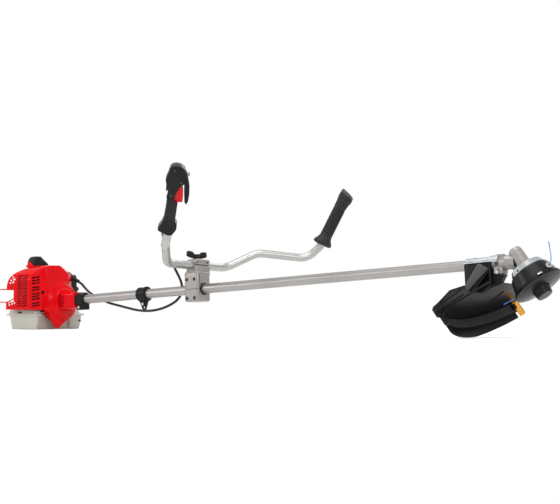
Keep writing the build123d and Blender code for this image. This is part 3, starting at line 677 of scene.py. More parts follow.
def buildEngineCover():
    parts = engineCover
    cover = coverForm("engineCover", 0, 7)
    cutAway(cover, coverForm("coverInside", parts["wall"], 5))
    carveAll(cover, parts["openings"])
    cutAway(cover, moved(rod("tubeHole", 58.6, (-140, 0, 0), (-80, 0, 0), 96), shaftPlace))
    cutAway(cover, moved(rod("plugHole", 14, (-159, -14, 90), (-159, -14, 130)), shaftPlace))
    holes = [(x0, x1, z, 3.4) for x0, x1 in parts["sideColumns"] for z in parts["sideSlots"]]
    holes += [(x0, x1, z, 4.6) for x0, x1, z in parts["holes"]]
    y0, y1 = parts["slotDepth"]
    slots = [block("slot", (x0, y0, z), (x1, y1, z + high), parts["sideLean"]) for x0, x1, z, high in holes]
    turn = shiftBy(55.8, -89.2, 0) @ turnBy(59.2, "Z")
    for z in parts["cornerSlots"]:
        slots.append(moved(block("slot", (-11, -10, z), (11, 10, z + 4), parts["cornerLean"]), turn))
    cutAway(cover, *slots)
    out = Vector(parts["cornerTrim"][1])
    spot = Vector((67, -70.4, 106.5))
    drill(cover, "coverScrewSeat", 5.4, spot - out * 6, spot + out * 6, 32)
    high, low = parts["prongs"]
    extras = [softRod("prong", 1.6, [(-18, -102, high), (-60, -102, high), (-134, -98, high)]),
              softRod("prong", 1.6, [(-18, -102, 90), (-50, -102, low), (-134, -98, low)]),
              softRod("prongEnd", 1.6, [(-134, -98, high), (-134, -98, low)])]
    joinPieces(cover, block("noseRib", (18, -60, 57), (40, -58, 60)), *extras)
    settle(cover, groundPlace, "red_shell", "engine_cover", angle=28)
    gland = rod("cableGland", 6, (0, 0, -7), (0, 0, 0))
    ring = turned("glandRing", [(0, -9), (8.6, -9), (8.6, -5), (7.4, -4), (0, -4)], 40)
    joinPieces(gland, ring)
    route = inMetres(throttleCable["route"][:2])
    settle(gland, pointedAt(route[0], route[1] - route[0]), "dark_plastic")


# plug cap
plugCap = {
    "line": [(-61, 100), (-60, 119), (-52, 131), (-48, 132.4), (-34, 132.4), (-30, 131), (-3, 111),
             (-3, 100)],
    "span": (-174, -144),
    "stem": [(8.8, 98), (12, 98), (12, 111), (0, 111)],
    "guard": [(-178, 103), (-164, 114), (-159, 119), (-154, 114), (-141, 103)],
}


def buildPlugCap():
    x0, x1 = plugCap["span"]
    cap = softPlate("plugCap", [(x0, y, z) for y, z in plugCap["line"]], (x1 - x0, 0, 0), 3.2, 4, 20)
    stem = moved(turned("plugStem", plugCap["stem"], 48), shiftBy(-159, -14, 0))
    ridge = softBlock("plugRidge", (x0 + 6, -50, 131.8), (x1 - 6, -26, 133.2), 0.6, 2)
    settle(joinPieces(cap, stem, ridge), shaftPlace, "dark_plastic", "plug_cap")
    base = softPlate("plugGuard", [(x, -62, z) for x, z in plugCap["guard"]], (0, -4, 0), 1.2, 3)
    settle(base, shaftPlace, "red_shell")


# fan housing
fanHousing = {
    "shell": [(-127, 54), (-127, 58), (-104, 58), (-99, 57.2), (-94.5, 54.8), (-91, 51), (-89, 46),
              (-88, 39), (-87, 36.5), (-84.4, 34.5), (-84, 33), (-84, 14), (-85.5, 14), (-85.5, 31),
              (-90.5, 33), (-91, 49), (-93, 54), (-127, 54)],
    "blend": [(-98, 74), (-96.4, 70), (-95.2, 65), (-93.2, 59.5), (-90.5, 53.5), (-92, 50), (-98, 50),
              (-98, 74)],
    "foot": [(-55, -18), (-50, -40), (-30, -68), (-25, -77), (-13, -77), (-7, -70), (26, -50), (46, -30)],
    "neck": (-85.5, -28),
    "slots": [13, 6, -1, -8, -15],
}


def buildFanHousing():
    shell = turnedAlong("fanHousing", fanHousing["shell"], 96)
    carve(shell, "rearGap", (-130, -24, 43), (-109, 24, 64))
    foot = softPlate("housingFoot", [(-113, y, z) for y, z in fanHousing["foot"]], (17, 0, 0), 5, 4, 20)
    drill(foot, "footBore", 53, (-130, 0, 0), (-92, 0, 0), 96)
    start, end = fanHousing["neck"]
    neck = moved(rod("housingNeck", 41, (start - 14, 0, 0), (end + 10, 0, 0), 4, 29), turnBy(45, "X"))
    roundEdges(neck, 8, 5, 30)
    bisectOff(neck, (start, 0, 0), (-1, 0, 0))
    bisectOff(neck, (end, 0, 0), (1, 0, 0))
    drill(neck, "neckBore", 16, (-90, 0, 0), (-72, 0, 0))
    drill(neck, "neckBore", 9.2, (-73, 0, 0), (-49.9, 0, 0))
    drill(neck, "neckBore", 13.05, (-50, 0, 0), (end + 5, 0, 0))
    blend = turnedAlong("housingBlend", fanHousing["blend"], 96)
    bisectOff(blend, (0, 0, -29), (0, 0, -1))
    bisectOff(blend, (0, 16, 0), (0, 1, 0))
    grooves = [block("neckSlot", (-86, -32, z), (-64, -24.2, z + 2.6), 14) for z in fanHousing["slots"]]
    cutAway(neck, *grooves)
    boss = rod("housingBoss", 3.4, (-89, -36, 36), (-86.5, -36, 36), 24, 2.6)
    settle(joinPieces(shell, foot, neck, boss, blend), shaftPlace, "red_shell", "fan_housing", angle=30)
    # dark strips at the bottom of the neck slots: painted shade in the slots
    slotShades = [block("neckSlotShade", (-86, -24.7, z), (-64, -24, z + 2.6), 14) for z in fanHousing["slots"]]
    settle(joinPieces(*slotShades), shaftPlace, "dark_plastic", look="cableSheath")


# collar where the tube enters the housing
tubeCollar = {
    "ring": [(-36, 13), (-36, 16), (-30, 18), (-29, 20), (-27, 20), (-26, 19.2), (-24, 19.2), (-23, 20),
             (-13, 20), (-12, 19.2), (-10, 19.2), (-9, 20), (-2, 20), (0, 18.6), (0, 13), (-36, 13)],
    "lug": ((-26, -15, -29.5), (-2, 15, -14)),
}


def buildCollar():
    ring = turnedAlong("tubeCollar", tubeCollar["ring"], 72)
    lug = softBlock("collarLug", *tubeCollar["lug"], 3, 4)
    drill(lug, "lugBore", 13, (-40, 0, 0), (5, 0, 0))
    carve(lug, "lugGap", (-28, -1.2, -31), (0, 1.2, -10))
    drill(lug, "screwSeat", 5, (-14, -16, -22), (-14, -12.5, -22), 32)
    settle(joinPieces(ring, lug), shaftPlace, "dark_plastic", "tube_collar")


# fuel tank
fuelTank = {
    "body": ((-64, -84, 0), (36, 106, 46)), "nearLobe": ((-62, -84, 0), (50, -66, 46)),
    "farLobe": ((-62, 54, 0), (45, 106, 46)),
    "raised": [((-62, -83, 40), (48, -62, 57)), ((-60, 62, 40), (36, 102, 55.5))],
    "seams": [((-68, -89, 39.5), (39, 109, 45)), ((-60, -89, 39.5), (54, -63, 45)),
              ((-60, 51, 39.5), (49, 109, 45))],
}


def tankBlock(name, corners, taper, width, segments):
    # its underside is drawn in, or out where the taper is negative
    piece = block(name, *corners)
    low = min(v.co.z for v in piece.data.vertices)
    high = max(v.co.z for v in piece.data.vertices)
    middle = [sum(v.co[i] for v in piece.data.vertices) / len(piece.data.vertices) for i in range(2)]
    for v in piece.data.vertices:
        share = (high - v.co.z) / (high - low) * taper * mm
        for i in range(2):
            v.co[i] -= share if v.co[i] > middle[i] else -share
    roundEdges(piece, width, segments)
    return piece


def buildTank():
    tank = tankBlock("fuelTank", fuelTank["body"], 5, 7, 5)
    for key in ("nearLobe", "farLobe"):
        addOn(tank, tankBlock(key, fuelTank[key], 5, 6, 5))
    for corners in fuelTank["raised"]:
        addOn(tank, tankBlock("raised", corners, -2.5, 4.5, 4))
    for low, high in fuelTank["seams"]:
        addOn(tank, softBlock("seam", low, high, 1.6, 3))
    addOn(tank, rod("filler", 15, (-76, 62, 22), (-58, 62, 22)))
    drill(tank, "fillerBore", 12, (-78, 62, 22), (-60, 62, 22))
    carve(tank, "levelSlot", (-26, -85, 46.5), (-8, -78, 51.5))
    settle(tank, groundPlace, "tank_plastic", "fuel_tank", angle=35)
    plug = rod("drainPlug", 3.2, (42.5, 96, 24), (46, 96, 24), 24, 2.6)
    dark = block("levelShadow", (-26, -80.5, 46.5), (-8, -78.2, 51.5))
    # dark sheets inside the cover, behind its slots: painted shade seen through the openings
    coverSlotShade = block("slotShadeSheet", (-30, -84, 58), (44, -82, 108))
    corner = plate("cornerSlotShadeSheet", [(44, -84, 58), (44, -82, 58), (60, -55, 58), (62, -56, 58)], (0, 0, 94))
    seat, out = Vector((69, -67, 106)), Vector(engineCover["cornerTrim"][1])
    screw = rod("coverScrew", 5.3, seat - out * 4, seat - out * 1.5, 32)
    elbow = softRod("cableElbow", 7.5, [(20, 58, 163), (31, 62.5, 159), (38.5, 64.5, 152), (43, 66.5, 146)])
    settle(joinPieces(plug, dark, coverSlotShade, corner, screw, elbow), groundPlace, "dark_plastic")


# cutting head
headDetail = {
    "eyelets": [-17, 163], "level": -57,
    "eyelet": [(57.2, 1.8), (57.2, 7.4), (58.4, 7.8), (60.6, 7.0), (61.2, 5.4), (61.2, 2.6), (60, 1.8),
               (57.2, 1.8)],
    "inserts": [-49, 131],
}


def buildHeadDetail():
    rings, tabs = [], []
    for turn in headDetail["eyelets"]:
        ring = moved(turnedAlong("eyeletRing", headDetail["eyelet"], 40), shiftBy(0, 0, headDetail["level"]))
        rings.append(moved(ring, turnBy(turn, "Z")))
    for turn in headDetail["inserts"]:
        # small steel tabs set into the rim of the head
        tab = softBlock("rimTab", (56.6, -6, -68.6), (61.2, 6, -65.2), 0.8, 2)
        tabs.append(moved(tab, turnBy(turn, "Z")))
    settle(joinPieces(*rings, *tabs), headPlace, "steel", body="output")


# guard over the cutting head
guardForm = {
    "centre": (41, -22), "radius": 250, "sweep": (-35, 43.5), "steps": 40,
    "plateLevel": -8, "wall": 3, "bandLevel": -36,
    "wing": [(-87, -34), (-104, -44), (-107, -58), (-106, -101), (-99, -123), (-84, -151), (-101, -188),
             (-163.5, -177)],
    "front": [(-82, 84), (-76, 66), (-75, 48), (-70, -10)],
    "ribs": [((-66, -72), (-166, -128)), ((-112, -122), (-172, -140)), ((-92, -152), (-150, -176)),
             ((-100, 40), (-196, 26))],
    "corner": (-139.5, 149),
    "clips": [((-169, -183, -34), (-158, -160, -9)), ((-166, -177, -58), (-158, -163, -33)),
              ((-162, -189, -24), (-140, -181, -9))],
    "pedestal": (1273, 1344), "recess": [(-4, -18), (-4, -66), (-50, -66)],
    "web": [(-6, -22), (1, -27), (30, -27), (20, -42), (8, -60), (-2, -80)],
    "panel": [(1313, 1), (1319, 1), (1339, -11), (1339, -14), (1284, -60), (1278, -58), (1275, -46)],
    "skirtSweep": (-30, 40), "skirtWall": 2.8, "skirtDepth": -61,
    "skirtTaper": [(10, -61), (180, -46), (180, -90), (10, -90)],
}


def guardArc(radius, first, last):
    return arcPoints(guardForm["centre"], radius, 180 - first, 180 - last, guardForm["steps"])


def bandPiece(name, outer, inner, sweep, low, high):
    line = guardArc(outer, *sweep) + list(reversed(guardArc(inner, *sweep)))
    return plate(name, [(x, y, low) for x, y in line], (0, 0, high - low))


def buildGuard():
    form = guardForm
    top, wall, radius = form["plateLevel"], form["wall"], form["radius"]
    line = form["front"] + form["wing"] + guardArc(radius, *form["sweep"])
    guard = softPlate("guard", [(x, y, top - wall) for x, y in line], (0, 0, wall), 1.1, 3, 25)
    band = bandPiece("guardBand", radius, radius - wall, form["sweep"], form["bandLevel"], top - 0.5)
    roundEdges(band, 0.9, 3, 30)
    under, middle = top - wall, top - wall / 2
    ribs = [softRod("guardRib", 2.2, [(*first, under), (*last, under)]) for first, last in form["ribs"]]
    lip = softRod("guardLip", 2.6, [(x, y, middle) for x, y in form["front"][-1:] + form["wing"]])
    edgeLine = form["front"][::-1] + [form["corner"]]
    edge = softRod("guardEdge", 2.0, [(x, y, middle) for x, y in edgeLine])
    clips = [softBlock("guardClip", low, high, 3, 4) for low, high in form["clips"]]
    first, last = form["pedestal"]
    pedestal = softBlock("guardPedestal", (first, -21, -130), (last, 21, 3), 3, 3)
    carve(pedestal, "pedestalHollow", (first + 4, -18, -135), (last - 4, 18, -22))
    drill(pedestal, "pedestalBore", 13.3, (first - 20, 0, 0), (last + 10, 0, 0), 64)
    carve(pedestal, "pedestalTop", (first - 20, -13.3, 0), (last + 10, 13.3, 20))
    for side in (-22, 10):
        line = [(last + x, side, z) for x, z in form["recess"]]
        cutAway(pedestal, plate("pedestalRecess", line, (0, 12, 0)))
    web = softPlate("pedestalWeb", [(last + x, -10, z) for x, z in form["web"]], (0, 20, 0), 1.5, 3)
    joinPieces(pedestal, web, block("pedestalWall", (first + 3, -2, -128), (last - 3, 2, -20)))
    pedestal.data.transform(headPlace.inverted() @ shaftPlace)
    bisectOff(pedestal, (0, 0, top - 1), (0, 0, -1))
    start, end = form["sweep"]
    inner = radius - wall
    # a thin lighter skin on the inner face of the band: painted light where the lamps fall on it
    litSkin = bandPiece("litBandSkin", inner + 0.4, inner - 0.3, (start + 1, end - 3),
                       form["bandLevel"] + 1.5, top - 4)
    settle(litSkin, headPlace, "dark_plastic", look="litBandPlastic")
    joinPieces(guard, band, lip, edge, pedestal, *ribs, *clips)
    settle(guard, headPlace, "dark_plastic", "guard", look="guardPlastic", angle=30)
    panel = softPlate("pedestalPanel", [(x, -20.6, z) for x, z in form["panel"]], (0, -4, 0), 1.8, 3)
    joinPieces(panel, copyOf(panel, "pedestalPanelTwin", shiftBy(0, 45.2, 0)))
    settle(panel, shaftPlace, "dark_plastic", look="endCap")
    far = shiftBy(*form["centre"], 0) @ turnBy(180 - end, "Z")
    holder = softBlock("cutterHolder", (inner, -5, -47), (radius + 2, 3, -9.5), 1.4, 3)
    lump = softBlock("cutterLump", (inner - 7, 8, -30), (inner + 1, 18, -16), 2, 3)
    settle(joinPieces(holder, lump), headPlace @ far, "dark_plastic", look="guardPlastic")
    outer = radius + form["skirtWall"]
    skirt = bandPiece("guardSkirt", outer, radius + 0.05, form["skirtSweep"], form["skirtDepth"], -28)
    cutAway(skirt, plate("skirtTaper", [(-320, y, z) for y, z in form["skirtTaper"]], (360, 0, 0)))
    roundEdges(skirt, 0.8, 2, 35)
    lipLine = bandPiece("skirtStep", outer + 1.2, radius + 0.3, form["skirtSweep"], -31, -27.6)
    roundEdges(lipLine, 0.7, 2, 35)
    joinPieces(skirt, lipLine)
    settle(skirt, headPlace, "dark_plastic", "guard_skirt", look="guardPlastic", angle=30)


# steel clamp of the guard
guardClamp = {
    "saddle": (1273, 1344),
    "line": [(1273, 13.05), (1273, 17), (1292, 17), (1293.5, 18), (1299, 18), (1300.5, 17), (1334, 17),
             (1337, 19.3), (1362, 19.5), (1362, 17.1), (1344, 17.1), (1344, 13.05), (1273, 13.05)],
    "bolts": [(1285, -19), (1285, 19), (1328, -19), (1328, 19)],
}


def buildGuardClamp():
    start, end = guardClamp["saddle"]
    saddle = turnedAlong("guardClamp", guardClamp["line"], 96)
    bisectOff(saddle, (0, 0, 3), (0, 0, -1))
    ears = softBlock("clampEars", (start, -23, 3), (end, 23, 5.6), 1, 3)
    carve(ears, "earGap", (start - 5, -14, 0), (end + 5, 14, 9))
    settle(joinPieces(saddle, ears), shaftPlace, "zinc_plate", "guard_clamp")
    bolts = []
    for x, y in guardClamp["bolts"]:
        bolts.append(rod("washer", 4.2, (x, y, 5.6), (x, y, 6.4), 32))
        bolts.append(rod("bolt", 3.5, (x, y, 6.4), (x, y, 9.8), 6))
        roundEdges(bolts[-1], 0.5, 2)
    settle(joinPieces(*bolts), shaftPlace, "steel")


# gearbox
gearbox = {
    "neck": [(1345, 13), (1345, 16.4), (1346, 17), (1376, 17), (1378, 17.8), (1381, 17.8), (1383, 17),
             (1404, 17)],
    "tower": [(13, -13), (16.5, -13), (16.5, 24), (15.6, 30), (12.6, 34.4), (8, 36), (0, 36.2)],
    "skirt": [(13, -14), (21, -14), (22, -13), (22, -9), (20.5, -7.6), (16.4, -6)],
    "lug": ((1348, -14, -26), (1372, 14, -8)), "seatShades": [(1359, -16.6, -1.5, 5), (1361, -13.6, -17, 3.4)],
    "web": [(1380, -14), (1402, -22), (1412, -14), (1400, 4)],
}


def buildGearbox():
    neck = turnedAlong("gearbox", gearbox["neck"], 80)
    lug = softBlock("gearLug", *gearbox["lug"], 3, 4)
    drill(lug, "lugBore", 13.1, (1340, 0, 0), (1380, 0, 0), 64)
    carve(lug, "lugGap", (1343, -1, -30), (1376, 1, -9))
    upper = softBlock("gearUpperLug", (1350, -6, 12), (1372, 6, 20.5), 2.4, 3)
    tower = turned("gearTower", gearbox["tower"], 80)
    joinPieces(tower, turned("gearSkirt", gearbox["skirt"], 80))
    tower.data.transform(shaftPlace.inverted() @ headPlace)
    web = softPlate("gearWeb", [(x, -2, z) for x, z in gearbox["web"]], (0, 4, 0), 1, 2)
    settle(joinPieces(neck, lug, upper, tower, web), shaftPlace, "cast_metal", "gearbox_housing")
    # dark steel discs in the seats on the gearbox: painted shade of the recesses there
    seatShades = [rod("screwSeat", radius, (x, y + 3, z), (x, y - 0.8, z), 24)
             for x, y, z, radius in gearbox["seatShades"]]
    settle(joinPieces(*seatShades), shaftPlace, "dark_steel")


# harness ring
harnessRing = {
    "ring": [(210, 13), (210, 18), (211.5, 19.6), (214, 19.6), (215.5, 17.8), (233, 17.8), (234.5, 20.6),
             (239, 20.6), (240.5, 19), (240.5, 13), (210, 13)],
    "lug": [(204, -8), (212, -24), (219, -40), (222, -46), (228, -46), (231, -40), (238, -24), (246, -8)],
    "holes": [(225, -37, 5), (216.5, -22, 2.4), (233, -22, 2.4)],
}


def buildHarnessRing():
    ring = turnedAlong("harnessRing", harnessRing["ring"], 72)
    lug = softPlate("harnessLug", [(x, -4, z) for x, z in harnessRing["lug"]], (0, 8, 0), 2, 3)
    drill(lug, "lugBore", 15, (190, 0, 0), (260, 0, 0), 64)
    for x, z, radius in harnessRing["holes"]:
        drill(lug, "lugHole", radius, (x, -9, z), (x, 9, z), 32)
    turns = range(15, 360, 30)
    ribs = [moved(block("ringRib", (214, -0.9, 17), (236, 0.9, 19.2)), turnBy(turn, "X")) for turn in turns]
    settle(joinPieces(ring, lug, *ribs), shaftPlace, "dark_plastic", "harness_ring")


# handle bracket
handleBracket = {
    "body": ((-24, -26, -33), (24, 26, 47)), "saddle": ((-18, -24, 38), (18, 34, 64)),
    "screws": [(-14, -24), (12, -24), (-14, 26), (12, 26)],
    "cap": ((-18, -21, 64.5), (18, 35, 81)),
    "openings": {
        "grooveA": ((22.4, -19, 12), (26, -15.5, 40)), "grooveB": ((22.4, -19, 12), (26, 10, 15.5)),
        "split": ((-25, -27, -0.6), (25, -15, 0.6)), "splitTwin": ((-25, 15, -0.6), (25, 27, 0.6)),
    },
    "knob": [(0, 82.6), (8.6, 82.6), (9, 84), (8.2, 92), (6.8, 94.4), (4.4, 95), (4.2, 93.2), (0, 93)],
    "wing": [(7, 82.6), (16, 83), (26, 84.5), (37, 87), (40, 90), (39, 99), (36, 102.5), (22, 101),
             (16, 97), (12, 92.5), (7, 92)],
}


def buildBracket():
    body = softBlock("handleBracket", *handleBracket["body"], 5, 4)
    addOn(body, softBlock("bracketSaddle", *handleBracket["saddle"], 3.4, 4))
    drill(body, "tubeBore", 16.05, (-30, 0, 0), (30, 0, 0), 72)
    drill(body, "barBore", 11.1, (0, -60, 64), (0, 60, 64), 64)
    for x, z in handleBracket["screws"]:
        for y, out in ((-26.5, -22), (22, 26.5)):
            drill(body, "screwSeat", 5, (x, y, z), (x, out, z), 32)
    carveAll(body, handleBracket["openings"])
    settle(body, handlePlace, "cast_metal", "handle_bracket")
    sockets = [rod("screwSocket", 4.8, (x, -25.7, z), (x, -25, z), 24) for x, z in handleBracket["screws"]]
    settle(joinPieces(*sockets), handlePlace, "dark_plastic", look="cableSheath")
    cap = softBlock("bracketCap", *handleBracket["cap"], 5, 5)
    drill(cap, "capBore", 11.1, (0, -60, 64), (0, 60, 64), 64)
    for y0, y1 in ((-26, -15), (15, 26)):
        carve(cap, "capSlot", (15, y0, 69), (22, y1, 74))
    joinPieces(cap, rod("capBoss", 10, (0, 0, 79), (0, 0, 82.2), 48, 9))
    settle(cap, handlePlace, "cast_metal", "bracket_cap")


def buildWingKnob():
    hub = turned("wingKnob", handleBracket["knob"], 48)
    for side in (-1, 1):
        line = [(-4.4, side * (y - 2), z) for y, z in handleBracket["wing"]]
        joinPieces(hub, softPlate("wing", line, (8.8, 0, 0), 2.2, 4))
    settle(hub, handlePlace, "dark_plastic", "wing_knob", body="knob")


# throttle grip
throttleGrip = {
    "sleeve": [(-15, 30), (-12.5, 60), (-11, 92), (4, 92), (6, 86), (16, 77), (14.6, 50), (13.4, 28)],
    "collar": [(-15, 34), (-21, 20), (-27, 11), (-26.5, 3.5), (-16, -1.5), (-2, -7.2), (9, -6.3),
               (19.2, 10), (19.3, 22), (13.8, 32)],
    "case": [(-10.5, 86), (-11, 118), (-13.5, 123), (-17.5, 130), (-18.5, 137), (-14, 152), (-10, 168),
             (-5, 172.5), (2.7, 175), (14, 174), (25.3, 168), (29, 158), (29.5, 132), (26, 127), (21, 124),
             (17, 118), (11, 106), (8, 98), (7, 88), (7, 85)],
    "hook": [(18, 171), (25.3, 168), (31, 157), (37.6, 137), (41, 120.6), (42.4, 102), (40.6, 83),
             (37.5, 76.9), (34.6, 77.4), (31.8, 83), (29.8, 100), (28.4, 112), (27.8, 127), (20, 140)],
    "trigger": [(13, 129), (22, 129), (26.2, 112), (27.6, 96), (27.3, 81), (25, 79.5), (6, 79.5), (5, 98),
                (9, 114)],
    "lockout": [(-9, 145), (-15, 146), (-18.5, 136), (-16, 122), (-15.5, 106), (-11.5, 105), (-9, 128)],
    "switch": ((25, -4.4, 148), (38.6, 4.4, 156.4)),
    "seam": [(-12.5, 92.5), (-12.5, 90), (6.5, 82), (8.6, 84)],
    "caseGaps": {"triggerGap": ((-6, -7, 77), (32, 7, 131)), "lockoutGap": ((-30, -6.5, 101), (-3, 6.5, 149)),
                 "switchGap": ((24, -5, 146.5), (42, 5, 160.5))},
    "hookGaps": {"switchGap": ((20, -5, 146.5), (42, 5, 160.5)),
                 "triggerGap": ((10, -7, 76), (28.2, 7, 131))},
    "socket": [(0, -6), (5.2, -6), (6.4, -4), (7, 0), (7.4, 10), (0, 12)],
    "screws": [(19.3, 133), (2, 162), (-2, 98)],
}


def sidePlate(name, line, half, soft):
    return softPlate(name, [(x, -half, z) for x, z in line], (0, 2 * half, 0), soft, 5, 25)


def buildThrottleGrip():
    parts = throttleGrip
    place = gripPlace(-1)
    sleeve = sidePlate("gripSleeve", parts["sleeve"], 14.5, 6.5)
    bands = [softBlock("gripBand", (-11, -15.1, z), (11, 15.1, z + 2.2), 1.0, 2) for z in range(38, 79, 5)]
    joinPieces(sleeve, *bands)
    carve(sleeve, "triggerGap", (-6, -7, 77), (30, 7, 131))
    settle(sleeve, place, "rubber_grip")
    grip = sidePlate("throttleGrip", parts["case"], 16, 5)
    hook = sidePlate("gripHook", parts["hook"], 9, 3.4)
    collar = sidePlate("gripCollar", parts["collar"], 17, 6)
    carveAll(grip, parts["caseGaps"])
    carveAll(hook, parts["hookGaps"])
    seam = sidePlate("gripSeam", parts["seam"], 15.4, 0.8)
    settle(joinPieces(grip, hook, collar, seam), place, "dark_plastic", "throttle_grip")
    before, last = inMetres(throttleCable["route"][-2:])
    socket = turned("cableSocket", parts["socket"], 40)
    settle(socket, pointedAt(last, last - before), "dark_plastic")
    screws = [rod("gripScrew", 2.6, (x, y - 0.4, z), (x, y + 0.4, z), 24)
              for x, z in parts["screws"] for y in (-16.05, 16.05)]
    settle(joinPieces(*screws), place, "dark_steel")


def buildTrigger():
    place = gripPlace(-1)
    blade = sidePlate("throttleTrigger", throttleGrip["trigger"], 5.8, 2.2)
    settle(blade, place, "red_trigger", "throttle_trigger", body="trigger")
    paddle = sidePlate("lockoutLever", throttleGrip["lockout"], 5.4, 1.6)
    settle(paddle, place, "dark_plastic", "lockout_lever", body="lockout")
    switch = softBlock("stopSwitch", *throttleGrip["switch"], 1.4, 3)
    ridges = [block("switchRidge", (38, -3.4, z), (39.2, 3.4, z + 0.9)) for z in (149.8, 151.8, 153.8)]
    settle(joinPieces(switch, *ridges), place, "switch_grey", "stop_switch", body="switch")


# plain grip
leftGrip = {
    "foot": [(0, 6), (16, 6), (22, 7), (25.5, 9), (26.4, 12), (25.6, 15.5), (22, 21), (18.6, 27), (16.4, 36)],
    "ribs": (38, 118, 5),
    "end": [(16.8, 122), (18, 136), (20, 146), (20.4, 152), (20, 158), (0, 158)],
    "cap": [(0, 157), (19, 157), (20, 159), (19.6, 164), (18, 167), (14, 168.4), (0, 168.4)],
    "slant": 0.42,
}


def slantEnd(piece):
    # the grip's end face leans outwards and to the front
    out = gripPlace(1).to_3x3().transposed() @ Vector((0.86, 0.5, 0))
    for vertex in piece.data.vertices:
        here = vertex.co / mm
        share = max(0, here.z - 124) / 44
        vertex.co.z -= leftGrip["slant"] * share * (here.x * out.x + here.y * out.y) * mm
        vertex.co.x += 3 * share * out.x * mm
        vertex.co.y += 3 * share * out.y * mm


def buildLeftGrip():
    line = list(leftGrip["foot"])
    for level in range(*leftGrip["ribs"]):
        line += [(16.9, level), (16.9, level + 3.4), (16.0, level + 3.9), (16.0, level + 4.6)]
    grip = turned("leftGrip", line + leftGrip["end"], 72)
    slantEnd(grip)
    settle(grip, gripPlace(1), "rubber_grip", "left_grip", angle=25)
    cap = turned("leftGripCap", leftGrip["cap"], 72)
    slantEnd(cap)
    settle(cap, gripPlace(1), "end_cap")


# pull starter
starter = {
    "dome": [(-192, 46), (-225, 46), (-228, 45), (-238, 37), (-247, 28.5), (-251, 23), (-252, 18),
             (-252, 0), (-249.6, 0), (-249.6, 17), (-248.6, 21.5), (-245.4, 26.4), (-236.6, 34.6),
             (-227, 42.4), (-225, 43), (-192, 43), (-192, 46)],
    "rim": [(-198, 46), (-197, 48), (-193, 48), (-192, 46), (-192, 43.2), (-198, 43.2), (-198, 46)],
    "hub": [(-254, 0), (-254, 13), (-253.2, 14.5), (-252, 15), (-251, 15), (-251, 0)],
    "slots": [0, 36, 72, 108, 252, 288, 324],
    "lugs": [(48, 20), (-48, 20), (0, 51)],
    "handle": [(0, -1), (4.2, -0.6), (6, 2), (6.8, 8), (7.4, 22), (6.8, 36), (6, 42), (4.2, 44.6), (0, 45)],
}


def buildStarter():
    dome = turnedAlong("starterHousing", starter["dome"], 96)
    carve(dome, "domeBase", (-270, -60, -80), (-180, 60, -26))
    cuts = [moved(block("domeSlot", (-262, -1.9, inner), (-226, 1.9, outer)), turnBy(-turn, "X"))
            for turn in starter["slots"] for inner, outer in ((24, 33), (36, 42))]
    cutAway(dome, *cuts)
    lugs = []
    for y, z in starter["lugs"]:
        lugs.append(rod("starterLug", 6, (-206, y, z), (-192, y, z), 40, 6.8))
        lugs.append(rod("starterScrew", 3.6, (-208.5, y, z), (-206, y, z), 6))
    rim = turnedAlong("starterRim", starter["rim"], 96)
    bisectOff(rim, (0, 0, -26), (0, 0, -1))
    cap = turnedAlong("starterHub", starter["hub"], 64)
    outlet = rod("ropeOutlet", 8, (-222, 40, 22), (-222, 50, 22), 40, 7)
    drill(outlet, "ropeBore", 3.2, (-222, 30, 22), (-222, 55, 22), 32)
    settle(joinPieces(dome, rim, cap, outlet, *lugs), shaftPlace, "dark_plastic", "starter_housing")
    handle = turned("starterHandle", starter["handle"], 48)
    handle.data.transform(shiftBy(-222, 59, 0) @ Matrix.Diagonal((1, 0.9, 1, 1)))
    joinPieces(handle, rod("handleNeck", 3.6, (-222, 51.6, 22), (-222, 56, 22), 32, 5))
    settle(handle, shaftPlace, "dark_plastic", "starter_handle", body="pull")
    rope = moved(rod("starterRope", 1.9, (-222, 34.5, 22), (-222, 52.4, 22), 20), shaftPlace)
    rope.data.materials.append(looks["ropeLook"])
    smoothShade(rope, 32)
    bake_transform(rope)


# air filter cover
filterCover = {
    "shell": ((-214, 84, -2), (-146, 112, 82)), "hollow": ((-210, 80, 2), (-150, 108.5, 78)),
    "slots": [12, 22, 32, 42, 52, 62],
    "knob": [(0, 118), (5.6, 118), (6.8, 116.8), (7.4, 112), (7.4, 106), (0, 106)],
}


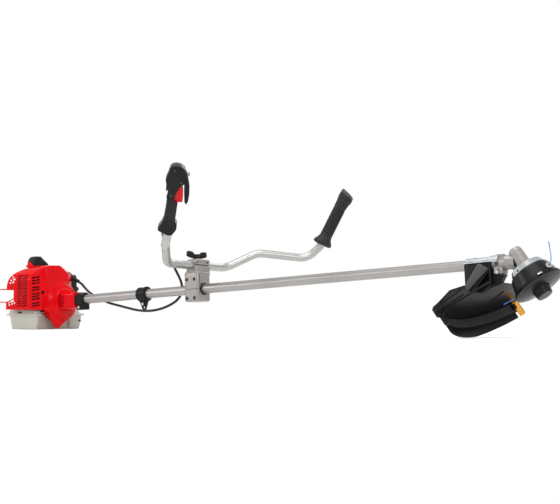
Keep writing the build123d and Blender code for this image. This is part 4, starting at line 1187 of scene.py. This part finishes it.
def buildFilterCover():
    cover = softBlock("airFilterCover", *filterCover["shell"], 8, 5)
    carve(cover, "coverHollow", *filterCover["hollow"])
    cuts = [block("coverSlot", (-204, 106, z), (-164, 116, z + 4), 6) for z in filterCover["slots"]]
    cutAway(cover, *cuts)
    screen = block("coverScreen", (-211, 104, 1), (-149, 106, 79))
    knob = moved(turned("coverKnob", filterCover["knob"], 40), shiftBy(-155.5, 0, 40) @ turnBy(-90, "X"))
    lip = softBlock("coverLip", (-215, 83.4, -3), (-145, 87, 83), 1.4, 3)
    carve(lip, "lipHollow", (-211, 80, 1), (-149, 90, 79))
    settle(joinPieces(cover, screen, knob, lip), shaftPlace, "dark_plastic", "air_filter_cover")


# fuel cap
fuelCap = {
    "cap": [(-70, 15.1), (-70, 18), (-71.5, 19), (-83, 19), (-85.4, 17.6), (-86, 15), (-86, 0), (-82, 0),
            (-82, 15.1), (-70, 15.1)],
    "grips": 16,
}


def buildFuelCap():
    cap = turnedAlong("fuelCap", fuelCap["cap"], 72)
    for i in range(fuelCap["grips"]):
        turn = 2 * math.pi * i / fuelCap["grips"]
        y, z = 18.6 * math.cos(turn), 18.6 * math.sin(turn)
        joinPieces(cap, rod("capGrip", 1.5, (-84, y, z), (-72, y, z), 12))
    joinPieces(cap, softBlock("capBar", (-88.4, -3, -13), (-85.5, 3, 13), 1.2, 3))
    cap.data.transform(shiftBy(0, 62, 22))
    settle(cap, groundPlace, "dark_plastic", "fuel_cap", body="tank_cap")


print("camera and light")
buildCamera()
buildLights()
buildWorld()
buildFloor()
bpy.context.scene.view_settings.view_transform = "Standard"
print("materials")
looks = buildLooks()
dressNodes(looks)
print("cords")
buildCords(looks)
stages = {
    "engine cover": buildEngineCover, "plug cap": buildPlugCap, "fan housing": buildFanHousing,
    "collar": buildCollar, "tank": buildTank, "head detail": buildHeadDetail, "guard": buildGuard,
    "guard clamp": buildGuardClamp, "gearbox": buildGearbox, "harness ring": buildHarnessRing,
    "bracket": buildBracket, "wing knob": buildWingKnob, "throttle grip": buildThrottleGrip,
    "trigger": buildTrigger, "left grip": buildLeftGrip, "starter": buildStarter,
    "filter cover": buildFilterCover, "fuel cap": buildFuelCap,
}
for stage, build in stages.items():
    print(stage)
    build()
